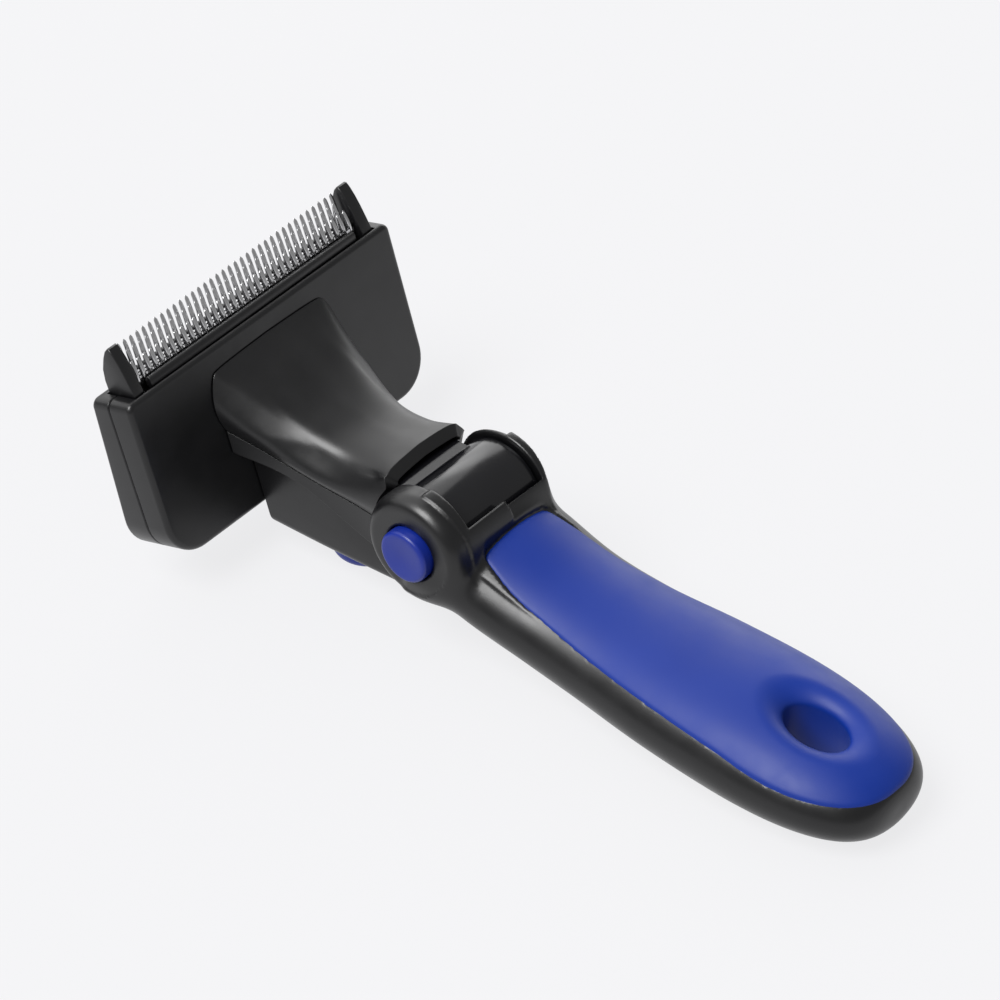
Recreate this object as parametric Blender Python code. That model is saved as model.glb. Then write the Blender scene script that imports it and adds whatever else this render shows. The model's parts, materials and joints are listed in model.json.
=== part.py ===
"""Deshedding tool for pets: a two-tone handle, a lockable pivot, a flared neck and a wide comb head.

The tool lies on its back on the plane z = 0, teeth up. +X runs along the handle to its free end, Y along
the row of teeth, +Z up. All sizes below are in millimetres and are measured from the pivot axis, which
runs along Y. HINGE_X and HINGE_HEIGHT place that axis in the scene, and every object has its origin on it.

The head has its own directions: "up" along the teeth, "back" away from the handle. Both are measured
from the front top edge of the head plate.
"""

import math

import bmesh
import bpy
import numpy as np
from mathutils import Vector
from mathutils.geometry import delaunay_2d_cdt

MM = 0.001
GAP = 0.3  # between pieces that touch

# Pivot
HINGE_HEIGHT = 26.5
HINGE_X = -23.43
EAR_RADIUS = 13.3
EAR_INSIDE = 12.1  # |y| of the faces that look at each other
EAR_OUTSIDE = 19.0
EAR_FLAT_RADIUS = 10.2
FAR_EAR_RADIUS = 12.8  # the ear without the button is thinner and more domed
FAR_EAR_OUTSIDE = 16.0
FAR_EAR_FLAT_RADIUS = 8.2
FAR_WAIST = 3.0  # how much narrower the handle is beside that ear
FAR_WAIST_END = 16.0
CAP_RADIUS = 7.1
BARREL_RADIUS = 10.8
BARREL_HALF_WIDTH = 11.7
PIN_RADIUS = 3.0
RUNNING = 0.06  # radial clearance of a running fit
BUTTON_RADIUS = 6.2
BUTTON_FACE = 21.5
GEAR_RADIUS = 8.0
GEAR_TEETH = 12

# Handle
HANDLE_END = 116.2
END_START = 80.0  # where the round end begins
HALF_WIDTHS = (
    (0, 19.0), (14, 18.0), (28, 17.2), (42, 17.7), (62, 19.6), (END_START, 20.2), (HANDLE_END, 17.9)
)
TOPS = ((0, 3.2), (8, 2.9), (14, 1.7), (28, -1.5), (42, -3.0), (62, -3.4), (80, -3.6), (HANDLE_END, -7.9))
BOTTOMS = ((0, -14.2), (14, -19.9), (28, -22.8), (42, -24.4), (62, -25.9), (80, -27.2), (HANDLE_END, -28.0))
HANDLE_ROUNDING = (3.3, 3.2)  # exponents of the round end's outline, along and across

# Grip
GRIP_FRONT = 14.0
GRIP_END_START = 87.0
GRIP_END = 114.9
GRIP_ROUNDING = (2.2, 2.4)
GRIP_HALF_WIDTHS = (
    (GRIP_FRONT, 10.4), (22, 12.4), (31, 13.1), (45, 14.7), (60, 16.5), (74, 17.6), (GRIP_END_START, 18.1)
)
GRIP_THICKNESS = 2.6
CARRIER_THICKNESS = 2.0
HOLE_X = 94.0
HOLE_HALF_LENGTH = 7.8
HOLE_HALF_WIDTH = 5.4
HOLE_WALL = 1.8
HOLE_ROUNDING = 5.0
HOLE_RIMS = (0.8, 2.2, 5.0)  # loops round the hole that carry the rounding

# Handle cover, on the underside
COVER_START = 24.0
COVER_END = 77.0
COVER_HALF_WIDTH = 8.0
COVER_THICKNESS = 2.4
COVER_SCREWS_X = (32.0, 50.0, 70.0)
SCREW_RADIUS = 1.2
SCREW_HEAD_RADIUS = 2.4
BOSS_RADIUS = 2.9

# Head plate
TILT = math.radians(18.5)
PLATE_X = -58.3
PLATE_Z = 23.2
PLATE_HALF_WIDTH = 42.0
PLATE_HEIGHT = 39.5
PLATE_TAPER = 0.5
PLATE_THICKNESS = 12.0
PLATE_WEDGE = 3.2  # how much thicker the plate is at the bottom
PLATE_SEAM = 6.6
PLATE_TOP_CORNER = 2.0
PLATE_BOTTOM_CORNER = 9.0
PLATE_WALL = 1.6
SLOT_HALF_LENGTH = 38.7
SLOT_FRONT = 1.0
SLOT_BACK = 9.8
HEAD_SCREW_Y = 35.7
HEAD_SCREW_UPS = (-19.0, -30.5)
HEAD_BOSS_RADIUS = 2.1

# Comb
TOOTH_PITCH = 1.95
TOOTH_COUNT = 36
TOOTH_WIDTH = 1.15
BLADE_THICKNESS = 0.8
BLADE_FOOT = -9.8
# name, back of its front face, height of its tips, shift along the row in pitches, tooth count
BLADES = (
    ("blade_front", 3.5, 6.6, 0.0, TOOTH_COUNT),
    ("blade_middle", 5.0, 9.0, 0.5, TOOTH_COUNT - 1),
    ("blade_back", 6.5, 10.3, 0.0, TOOTH_COUNT),
)
GUARD_INSIDE = 35.3
GUARD_OUTSIDE = 38.3
GUARD_HEIGHT = 11.3
BLADE_SCREW_Y = 25.0
BLADE_SCREW_UP = -5.5

# Ejector
EJECT_TRAVEL = 7.0
FRAME_HALF_WIDTH = 33.0
FRAME_FLOOR = -29.0
HOLDER_BASE = -16.0
SPRING_RADIUS = 2.0
SPRING_WIRE = 0.35

# Neck
NECK_WALL = 2.0
NECK_START = -12.0
NECK_END = -56.0
NECK_HINGE_RADIUS = 12.9
NECK_EAR_RADIUS = 13.8  # of the neck's end beside the barrel, where it faces the ears
NECK_LIP_Z = 7.3
NECK_HALF_WIDTHS = ((NECK_END, 18.6), (-45, 15.9), (-33, 13.9), (-20, 12.9), (NECK_START, 12.9))
NECK_EDGES = ((NECK_END, 17.8), (-45, 14.6), (-33, 12.4), (-20, 11.8), (NECK_START, 12.0))
NECK_SHOULDERS = ((NECK_END, 1.0), (-46, 2.2), (-33, 3.0), (-20, 2.2), (NECK_START, 1.4))
NECK_SWELL = 1.9
NECK_TOPS = ((NECK_END, 18.5), (-49.4, 15.4), (-41, 11.6), (-28.7, 8.7), (-20, 8.9), (NECK_START, 9.9))
NECK_SEAMS = ((NECK_END, 5.6), (-33, -0.5), (NECK_START, -2.3))
NECK_CREASES = ((NECK_END, 0.3), (-38, -2.8), (-26, -8.0), (NECK_START, -14.0))
KEEL_HALF_WIDTHS = ((NECK_END, 13.8), (-44, 13.4), (NECK_START, 11.5))
KEEL_BOTTOM = -19.5
KEEL_FRONT_X = -3.0
FUR_BUTTON_X = -28.5
FUR_BUTTON_RADIUS = 8.0
TONGUE_BACK_X = -19.0
TONGUE_HALF_WIDTH = 8.0
NECK_SCREW_X = -15.5
NECK_SCREW_Y = 5.0

ROUND = 32  # sides of a round piece

PLASTIC_BLACK = ((0.012, 0.012, 0.013), 0.38, 0.0)
PLASTIC_GLOSS = ((0.010, 0.010, 0.011), 0.16, 0.0)
SOFT_BLUE = ((0.022, 0.052, 0.330), 0.55, 0.0)
BUTTON_BLUE = ((0.030, 0.055, 0.360), 0.35, 0.0)
STEEL = ((0.62, 0.62, 0.63), 0.22, 1.0)
NYLON = ((0.55, 0.55, 0.53), 0.50, 0.0)


def clear_scene():
    for old in list(bpy.data.objects):
        bpy.data.objects.remove(old)


def make_material(name, look):
    color, roughness, metallic = look
    material = bpy.data.materials.new(name)
    material.use_nodes = True
    shader = material.node_tree.nodes["Principled BSDF"]
    shader.inputs["Base Color"].default_value = (*color, 1.0)
    shader.inputs["Roughness"].default_value = roughness
    shader.inputs["Metallic"].default_value = metallic
    material.diffuse_color = (*color, 1.0)
    return material


def make_axis(name):
    """An empty on the pivot axis, the parent of one moving group."""
    axis = bpy.data.objects.new(name, None)
    axis.location = (HINGE_X * MM, 0.0, HINGE_HEIGHT * MM)
    axis.empty_display_size = 0.02
    bpy.context.scene.collection.objects.link(axis)
    return axis


def curve(points, x):
    """A smooth line through a few (x, value) points, read at x."""
    xs = np.array([point[0] for point in points], float)
    values = np.array([point[1] for point in points], float)
    slopes = np.gradient(values, xs)
    i = int(np.clip(np.searchsorted(xs, x) - 1, 0, len(xs) - 2))
    step = xs[i + 1] - xs[i]
    t = (x - xs[i]) / step
    rise = (2 * t - 3) * t * t + 1
    return (
        rise * values[i]
        + (1 - rise) * values[i + 1]
        + (t * (1 - t) ** 2 * slopes[i] - t * t * (1 - t) * slopes[i + 1]) * step
    )


def make_object(name, points, faces, look, parent, smooth=True):
    """A mesh object from points in millimetres, with its faces turned outward."""
    mesh = bpy.data.meshes.new(name)
    mesh.from_pydata([tuple(c * MM for c in point) for point in points], [], faces)
    shape = bmesh.new()
    shape.from_mesh(mesh)
    bmesh.ops.remove_doubles(shape, verts=shape.verts, dist=1e-7)
    bmesh.ops.recalc_face_normals(shape, faces=shape.faces)
    shape.to_mesh(mesh)
    shape.free()
    if smooth:
        mesh.shade_smooth()
        mesh.set_sharp_from_angle(angle=math.radians(35))
    obj = bpy.data.objects.new(name, mesh)
    obj.parent = parent
    bpy.context.scene.collection.objects.link(obj)
    if look is None:
        obj.hide_render = True
        obj.display_type = "WIRE"
    else:
        mesh.materials.append(look)
    return obj


def change(target, other, operation="DIFFERENCE", solver="EXACT"):
    """Cuts the target by the other object, or joins that object to it. The other one is only a helper."""
    modifier = target.modifiers.new(operation.lower() + "_" + other.name, "BOOLEAN")
    modifier.operation = operation
    modifier.object = other
    modifier.solver = solver


def loft(rings):
    """(points, faces) of the skin over closed rings with equal counts, capped at both ends."""
    count = len(rings[0])
    points = [point for ring in rings for point in ring]
    faces = [tuple(range(count)), tuple(range(len(points) - count, len(points)))]
    for start in range(0, len(points) - count, count):
        for i in range(count):
            j = (i + 1) % count
            faces.append((start + i, start + j, start + count + j, start + count + i))
    return points, faces


def turned(profile):
    """Rings round the pivot axis, for a loft: profile is (y, radius) from one end to the other."""
    angles = [2 * math.pi * (i + 0.5) / ROUND for i in range(ROUND)]
    return [[(r * math.cos(a), y, r * math.sin(a)) for a in angles] for y, r in profile]


def upright(profile, x, y, sides=ROUND):
    """Rings along Z, for a loft: profile is (z, radius)."""
    angles = [2 * math.pi * i / sides for i in range(sides)]
    return [[(x + r * math.cos(a), y + r * math.sin(a), z) for a in angles] for z, r in profile]


def block(low, high):
    """Two rings of a box, for a loft."""
    (x0, y0, z0), (x1, y1, z1) = low, high
    return [[(x, y0, z0), (x, y1, z0), (x, y1, z1), (x, y0, z1)] for x in (x0, x1)]


def on_plate(back, y, up):
    """A point given in the head's own directions."""
    return (
        PLATE_X - back * math.cos(TILT) - up * math.sin(TILT),
        y,
        PLATE_Z - back * math.sin(TILT) + up * math.cos(TILT),
    )


def plate_block(low, high):
    """Two rings of a box that stands along the head's own directions: back, y, up."""
    return [[on_plate(*point) for point in ring] for ring in block(low, high)]


def plate_turned(profile, y, up, sides=16):
    """Rings along the head's back direction: profile is (back, radius)."""
    angles = [2 * math.pi * i / sides for i in range(sides)]
    return [
        [on_plate(back, y + r * math.cos(a), up + r * math.sin(a)) for a in angles] for back, r in profile
    ]


# Plan outlines and height fields of the handle


def end_factor(x, start, end, rounding):
    along, across = rounding
    t = min(max((x - start) / (end - start), 0.0), 1.0)
    return max(1.0 - t**along, 0.0) ** (1.0 / across)


def handle_end_factor(x):
    return end_factor(x, END_START, HANDLE_END, HANDLE_ROUNDING)


def handle_half_width(x):
    return curve(HALF_WIDTHS, x) * handle_end_factor(x)


def handle_middle(x):
    return (curve(TOPS, x) + curve(BOTTOMS, x)) / 2


def handle_half_height(x):
    return (curve(TOPS, x) - curve(BOTTOMS, x)) / 2 * handle_end_factor(x)


def handle_arch(x, y):
    """Height of the handle's surface above or below its middle."""
    share = min(abs(y) / max(handle_half_width(x), 1e-6), 1.0)
    return handle_half_height(x) * math.sqrt(1.0 - share * share)


def handle_top(x, y):
    return handle_middle(x) + handle_arch(x, y)


def handle_bottom(x, y):
    return max(handle_middle(x) - handle_arch(x, y), -HINGE_HEIGHT)


def grip_half_width(x):
    if x < GRIP_END_START:
        return curve(GRIP_HALF_WIDTHS, x)
    return GRIP_HALF_WIDTHS[-1][1] * end_factor(x, GRIP_END_START, GRIP_END, GRIP_ROUNDING)


def hole_distance(x, y):
    """0 on the hanging hole's edge, growing outward, in millimetres of its shorter half-axis."""
    reach = math.hypot((x - HOLE_X) / HOLE_HALF_LENGTH, y / HOLE_HALF_WIDTH)
    return (reach - 1.0) * HOLE_HALF_WIDTH


def grip_top(x, y):
    """The grip's skin, which rolls down into the hanging hole."""
    short = max(HOLE_ROUNDING - hole_distance(x, y), 0.0) / HOLE_ROUNDING
    roll = HOLE_ROUNDING * (1.0 - math.sqrt(max(1.0 - min(short, 1.0) ** 2, 0.0)))
    return handle_top(x, y) - roll


def half_outline(half_width, start, end, count):
    """Points down one side of a plan outline, closer together towards its round end."""
    steps = [math.sin(math.pi / 2 * i / count) for i in range(count + 1)]
    return [(start + (end - start) * t, half_width(start + (end - start) * t)) for t in steps]


def grip_outline(inset, count=17):
    """The grip's outline in plan. A negative inset makes it larger."""
    side = half_outline(grip_half_width, GRIP_FRONT, GRIP_END, count)
    middle = Vector((GRIP_END_START, 0.0))
    points = []
    for x, y in side:
        if y < 1e-6:
            points.append((x - inset, 0.0))
            continue
        away = Vector((max(x - middle.x, 0.0), y)).normalized()
        points.append((max(x - inset * away.x, GRIP_FRONT + inset), y - inset * away.y))
    return points + [(x, -y) for x, y in reversed(points) if y > 1e-6]


def hole_oval(outset, count=22):
    """The hanging hole's outline in plan, made larger by outset."""
    angles = [2 * math.pi * i / count for i in range(count)]
    length, width = HOLE_HALF_LENGTH + outset, HOLE_HALF_WIDTH + outset
    return [(HOLE_X + length * math.cos(a), width * math.sin(a)) for a in angles]


def is_inside(point, outline):
    x, y = point
    crossings = 0
    for (x0, y0), (x1, y1) in zip(outline, outline[1:] + outline[:1]):
        if (y0 > y) != (y1 > y) and x < x0 + (y - y0) * (x1 - x0) / (y1 - y0):
            crossings += 1
    return crossings % 2 == 1


def plan_points(outline, holes, rims, spacing):
    """Points of one common grid that are inside the outline and clear of every loop."""
    edges = np.array([point for loop in [outline, *holes, *rims] for point in loop])
    last = math.ceil(HANDLE_END / spacing)
    found = []
    for x in [spacing * i for i in range(last)]:
        for y in [spacing * i for i in range(-last, last)]:
            clear = np.min(np.hypot(edges[:, 0] - x, edges[:, 1] - y)) > spacing * 0.55
            if clear and is_inside((x, y), outline) and not any(is_inside((x, y), h) for h in holes):
                found.append((x, y))
    return found


def slab(outline, holes, top, bottom, rims=(), spacing=6.0):
    """(points, faces) of the solid between two height fields, over a plan outline with holes.

    Each rim is a further loop of points, for a place where the height changes fast.
    """
    loops = [outline, *holes]
    plan = [Vector(point) for loop in loops for point in loop]
    edges = []
    for loop in loops:
        start = len(edges)
        edges += [(start + i, start + (i + 1) % len(loop)) for i in range(len(loop))]
    plan += [Vector(point) for rim in rims for point in rim]
    plan += [Vector(point) for point in plan_points(outline, holes, rims, spacing)]
    result = delaunay_2d_cdt(plan, edges, [], 0, 1e-6)
    plan, triangles = result[0], result[2]
    kept = []
    for triangle in triangles:
        centre = sum((plan[i] for i in triangle), Vector((0.0, 0.0))) / 3
        if is_inside(centre, outline) and not any(is_inside(centre, hole) for hole in holes):
            kept.append(tuple(triangle))
    count = len(plan)
    points = [(p.x, p.y, top(p.x, p.y)) for p in plan]
    points += [(p.x, p.y, bottom(p.x, p.y)) for p in plan]
    faces = kept + [tuple(i + count for i in reversed(triangle)) for triangle in kept]
    used = {}
    for triangle in kept:
        for a, b in zip(triangle, triangle[1:] + triangle[:1]):
            used[frozenset((a, b))] = used.get(frozenset((a, b)), 0) + 1
    for pair in [tuple(pair) for pair, times in used.items() if times == 1]:
        a, b = pair
        faces.append((a, b, b + count, a + count))
    return points, faces


def handle_ring(x):
    sides = 24
    width, height = handle_half_width(x), handle_half_height(x)
    waist = FAR_WAIST * max(1.0 - x / FAR_WAIST_END, 0.0) ** 2
    ring = []
    for i in range(sides):
        angle = 2 * math.pi * i / sides
        across = math.cos(angle)
        half = width - waist if across > 0 else width
        z = handle_middle(x) + height * math.sin(angle)
        ring.append((x, half * across, max(z, -HINGE_HEIGHT)))
    return ring


def handle_stations():
    body = list(np.linspace(0.7, END_START, 13))
    steps = [math.sin(math.pi / 2 * i / 9) for i in range(1, 9)]
    return body + [END_START + (HANDLE_END - END_START) * t for t in steps] + [HANDLE_END - 0.02]


# Handle group


def make_button_ear(parent):
    """The ear with the lock button: round, with a wide bevel up to its flat outer face."""
    profile = (
        (2.0 - EAR_INSIDE, EAR_RADIUS),
        (-15.2, EAR_RADIUS),
        (-17.6, EAR_RADIUS - 0.9),
        (-18.7, EAR_FLAT_RADIUS + 0.6),
        (-EAR_OUTSIDE, EAR_FLAT_RADIUS),
    )
    return make_object("button_ear", *loft(turned(profile)), None, parent)


def make_far_ear(parent):
    """The ear over the pin's end, a low dome."""
    profile = (
        (EAR_INSIDE - 2.0, FAR_EAR_RADIUS),
        (EAR_INSIDE + 0.3, FAR_EAR_RADIUS),
        (13.3, 11.3),
        (14.7, 9.7),
        (FAR_EAR_OUTSIDE, FAR_EAR_FLAT_RADIUS),
    )
    return make_object("far_ear", *loft(turned(profile)), None, parent)


def fork_rings():
    """Rings along Y of the space between the ears: round the barrel, and open above and ahead of it."""
    radius = BARREL_RADIUS + 0.6
    window = BARREL_RADIUS - 0.4
    last = math.acos(window / radius)
    angles = [math.radians(-95.0) + (last + math.radians(95.0)) * i / 20 for i in range(21)]
    outline = [(window, 30.0), (-30.0, 30.0), (-30.0, -30.0), (-1.0, -30.0)]
    outline += [(radius * math.cos(a), radius * math.sin(a)) for a in angles]
    return [[(x, y, z) for x, z in outline] for y in (-EAR_INSIDE, EAR_INSIDE)]


def make_handle_shell(parent, look):
    """The black handle: the fork ears and a hull that is open under the grip and along the cover."""
    shell = make_object("handle_shell", *loft([handle_ring(x) for x in handle_stations()]), look, parent)
    for ear in (make_button_ear(parent), make_far_ear(parent)):
        change(shell, ear, "UNION")

    def cut(name, shape):
        # The flat belly's large coplanar faces are more than the exact solver copes with.
        change(shell, make_object(name, *shape, None, parent), "DIFFERENCE", "MANIFOLD")

    cut("cut_fork", loft(fork_rings()))

    def pocket_floor(x, y):
        return grip_top(x, y) - GRIP_THICKNESS - CARRIER_THICKNESS - 5 * GAP

    cut("cut_pocket", slab(grip_outline(-GAP), [], lambda x, y: 30.0, pocket_floor))
    cavity = grip_outline(3.0)
    boss = hole_oval(HOLE_WALL + GAP + 2.2)
    cut("cut_cavity", slab(cavity, [boss], lambda x, y: 20.0, lambda x, y: handle_bottom(x, y) + 2.6))
    tube = hole_oval(HOLE_WALL + GAP)
    cut("cut_hole", slab(tube, [], lambda x, y: 25.0, lambda x, y: -40.0))
    cut("cut_cover", slab(cover_outline(-GAP), [], lambda x, y: -14.0, lambda x, y: -40.0))

    cut("cut_splines", loft(gear_rings(GAP, -15.4, -11.0)))
    cut("cut_button", loft(turned(((-24.0, BUTTON_RADIUS + 0.2), (-15.0, BUTTON_RADIUS + 0.2)))))
    cut("cut_cap", loft(turned(((FAR_EAR_OUTSIDE, CAP_RADIUS + GAP), (24.0, CAP_RADIUS + GAP)))))
    cut("cut_pin", loft(turned(((11.0, PIN_RADIUS + RUNNING), (24.0, PIN_RADIUS + RUNNING)))))
    return shell


def make_grip(parent, look):
    """The soft blue skin, with a tube that lines the hanging hole down through the handle."""
    rims = [hole_oval(outset) for outset in HOLE_RIMS]
    skin = slab(grip_outline(0.0), [hole_oval(0.0)], grip_top, grip_underside, rims)
    grip = make_object("grip", *skin, look, parent)
    tube = slab(
        hole_oval(HOLE_WALL), [hole_oval(0.02)], lambda x, y: grip_underside(x, y) + 1.0, handle_bottom
    )
    change(grip, make_object("grip_tube", *tube, None, parent), "UNION")
    return grip


def grip_underside(x, y):
    return grip_top(x, y) - GRIP_THICKNESS


def make_grip_carrier(parent, look):
    """The hard plate under the skin, with a boss down to the cover for each screw."""

    def top(x, y):
        return grip_underside(x, y) - 2 * GAP

    def bottom(x, y):
        return top(x, y) - CARRIER_THICKNESS

    hole = hole_oval(HOLE_WALL + 3 * GAP)
    carrier = make_object("grip_carrier", *slab(grip_outline(GAP), [hole], top, bottom), look, parent)
    for i, x in enumerate(COVER_SCREWS_X):
        foot = handle_bottom(x - BOSS_RADIUS, BOSS_RADIUS) + COVER_THICKNESS + 2 * GAP
        boss = loft(upright(((foot, BOSS_RADIUS), (bottom(x, 0) + 1.0, BOSS_RADIUS)), x, 0.0, 20))
        change(carrier, make_object(f"carrier_boss_{i}", *boss, None, parent), "UNION")
    for i, x in enumerate(COVER_SCREWS_X):
        foot = handle_bottom(x, 0)
        bore = loft(upright(((foot, SCREW_RADIUS + 0.1), (foot + 13.0, SCREW_RADIUS + 0.1)), x, 0.0, 16))
        change(carrier, make_object(f"carrier_bore_{i}", *bore, None, parent))
    return carrier


def cover_outline(inset):
    """The underside cover's outline in plan: a long oval with straight sides."""
    radius = COVER_HALF_WIDTH - inset
    ends = ((COVER_END - COVER_HALF_WIDTH, 0.0), (COVER_START + COVER_HALF_WIDTH, math.pi))
    return [
        (x + radius * math.cos(turn + a), radius * math.sin(turn + a))
        for x, turn in ends
        for a in [math.pi * (i / 10 - 0.5) for i in range(11)]
    ]


def make_handle_cover(parent, look):
    """The long cover in the handle's underside, with a counterbore for each screw."""
    shape = slab(cover_outline(0.0), [], lambda x, y: handle_bottom(x, y) + COVER_THICKNESS, handle_bottom)
    cover = make_object("handle_cover", *shape, look, parent)
    for i, x in enumerate(COVER_SCREWS_X):
        low = handle_bottom(x, 0)
        profile = (
            (low - 2.0, SCREW_HEAD_RADIUS + GAP),
            (low + 1.4, SCREW_HEAD_RADIUS + GAP),
            (low + 1.4, SCREW_RADIUS + GAP),
            (low + 5.0, SCREW_RADIUS + GAP),
        )
        change(cover, make_object(f"cover_bore_{i}", *loft(upright(profile, x, 0.0, 20)), None, parent))
    return cover


def make_cover_screw(name, x, parent, look):
    low = handle_bottom(x, 0)
    profile = (
        (low + 0.2, SCREW_HEAD_RADIUS),
        (low + 1.2, SCREW_HEAD_RADIUS),
        (low + 1.2, SCREW_RADIUS),
        (low + 11.0, SCREW_RADIUS),
    )
    return make_object(name, *loft(upright(profile, x, 0.0, 20)), look, parent)


def make_pivot_pin(parent, look):
    end = FAR_EAR_OUTSIDE - GAP
    return make_object("pivot_pin", *loft(turned(((2.4, PIN_RADIUS), (end, PIN_RADIUS)))), look, parent)


def make_pivot_cap(parent, look):
    """The stepped round cap over the pin's end, on the ear without the button."""
    start = FAR_EAR_OUTSIDE + 0.1
    steps = ((0.0, CAP_RADIUS), (0.5, CAP_RADIUS - 0.1), (0.6, 5.4), (1.0, 5.2), (1.1, 4.4))
    profile = [(start + out, radius) for out, radius in steps]
    return make_object("pivot_cap", *loft(turned(profile)), look, parent)


# Lock group


def gear_rings(extra, start, end):
    """Rings along Y of the lock's toothed hub, made larger all round by extra."""
    tip = GEAR_RADIUS + extra
    root = GEAR_RADIUS - 1.0 + extra
    widen = extra / GEAR_RADIUS
    half_tip, half_root = math.radians(4.5) + widen, math.radians(8.0) + widen
    corners = []
    for i in range(GEAR_TEETH):
        middle = 2 * math.pi * i / GEAR_TEETH
        for turn, r in ((-half_root, root), (-half_tip, tip), (half_tip, tip), (half_root, root)):
            corners.append((r * math.cos(middle + turn), r * math.sin(middle + turn)))
    return [[(x, y, z) for x, z in corners] for y in (start, end)]


def make_lock_button(parent, look):
    profile = (
        (-BUTTON_FACE, BUTTON_RADIUS - 0.9),
        (-BUTTON_FACE + 0.25, BUTTON_RADIUS - 0.25),
        (-BUTTON_FACE + 0.8, BUTTON_RADIUS),
        (-15.4, BUTTON_RADIUS),
    )
    return make_object("lock_button", *loft(turned(profile)), look, parent)


def make_lock_gear(parent, look):
    """The hub that keys the ear to the barrel until the button pushes it clear of the ear."""
    return make_object("lock_gear", *loft(gear_rings(0.0, -15.1, -9.0)), look, parent, smooth=False)


def coil(place, length, radius, wire, turns, steps=10, sides=4):
    """A coil spring. place turns its own (across, across, along) into a point of the tool."""
    rings = []
    for i in range(turns * steps + 1):
        angle = 2 * math.pi * i / steps
        along = wire + (length - 2 * wire) * i / (turns * steps)
        ring = []
        for k in range(sides):
            tilt = 2 * math.pi * k / sides
            out = radius + wire * math.cos(tilt)
            ring.append(place(out * math.cos(angle), out * math.sin(angle), along + wire * math.sin(tilt)))
        rings.append(ring)
    return loft(rings)


def make_lock_spring(parent, look):
    def place(a, b, along):
        return (a, -8.7 + along, b)

    return make_object("lock_spring", *coil(place, 10.4, 4.0, 0.4, 4), look, parent)


# Head group: neck


def neck_start_x(y, z):
    """The neck's end at the pivot: round the barrel and clear of the ears, with a sloping lip on top."""
    beside = min(max((abs(y) - (EAR_INSIDE - 0.9)) / 0.6, 0.0), 1.0)
    radius = NECK_HINGE_RADIUS + (NECK_EAR_RADIUS - NECK_HINGE_RADIUS) * beside
    if z > NECK_LIP_Z:
        return -math.sqrt(radius**2 - NECK_LIP_Z**2) - (z - NECK_LIP_Z) * 1.05
    return min(-math.sqrt(max(radius**2 - z * z, 0.0)), KEEL_FRONT_X)


def neck_end_x(z):
    """The neck's end at the head, just in front of the plate's face."""
    return PLATE_X + (PLATE_Z - z) * math.tan(TILT) + GAP


def arc(y, z, radius, start, count=4):
    """A quarter turn in the YZ plane, from the angle start, in degrees."""
    angles = [math.radians(start + 90.0 * i / count) for i in range(count + 1)]
    return [(y + radius * math.cos(a), z + radius * math.sin(a)) for a in angles]


def top_profile(x, inset):
    """Half of the upper shell's section at x, from the seam up the swelling side to the middle."""
    width, edge = curve(NECK_HALF_WIDTHS, x) - inset, curve(NECK_EDGES, x) - inset
    top, seam = curve(NECK_TOPS, x) - inset, curve(NECK_SEAMS, x)
    radius = max(curve(NECK_SHOULDERS, x) - inset, 0.5)
    side = []
    for t in (0.0, 0.2, 0.5, 0.8):
        swell = NECK_SWELL * (1.0 - abs(2.0 * t - 1.0) ** 3)
        side.append((width + (edge - width) * t + swell, seam + (top - radius - seam) * t))
    return side + arc(edge - radius, top - radius, radius, 0.0) + [(0.0, top + 0.4)]


def bottom_profile(x, inset):
    """Half of the lower shell's section at x: a flared side, a crease and the keel under it."""
    corner = 2.5
    floor = KEEL_BOTTOM + inset
    width, keel = curve(NECK_HALF_WIDTHS, x) - inset, curve(KEEL_HALF_WIDTHS, x) - inset
    keel = min(keel, width - 0.1)
    crease = max(curve(NECK_CREASES, x), floor + corner + 1.0 + (width - keel) * 0.8)
    undercut = crease - (width - keel) * 0.8
    start = curve(NECK_SEAMS, x) - GAP
    side = [(width, start + (crease - start) * t) for t in (0.0, 0.25, 0.5, 0.75)]
    side += [(width - 0.05, crease), (keel, undercut)]
    rounding = [(y, z) for y, z in reversed(arc(keel - corner, floor + corner, corner, -90.0))]
    return side + rounding + [(0.0, floor)]


def neck_shell_rings(profile, stations=12):
    """Rings along X of a shell whose section is open towards the seam."""

    def whole(half):
        return half + [(-y, z) for y, z in reversed(half[:-1])]

    rings = []
    for i in range(stations):
        t = i / (stations - 1)
        x = NECK_START + (NECK_END - NECK_START) * t
        section = whole(profile(x, 0.0)) + list(reversed(whole(profile(x, NECK_WALL))))
        starts = [neck_start_x(y, z) for y, z in section]
        rings.append(
            [(x0 + (neck_end_x(z) - x0) * t, y, z) for x0, (y, z) in zip(starts, section)]
        )
    return rings


def neck_shell(profile):
    """(points, faces) of a neck shell, its ends closed by quads from the outer skin to the inner one."""
    rings = neck_shell_rings(profile)
    points, faces = loft(rings)
    count = len(rings[0])
    for start in (0, len(points) - count):
        last = start + count - 1
        for i in range(count // 2 - 1):
            faces.append((start + i, start + i + 1, last - i - 1, last - i))
    return points, faces[2:]


def make_neck_top_shell(parent, look):
    return make_object("neck_top_shell", *neck_shell(top_profile), look, parent)


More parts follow.
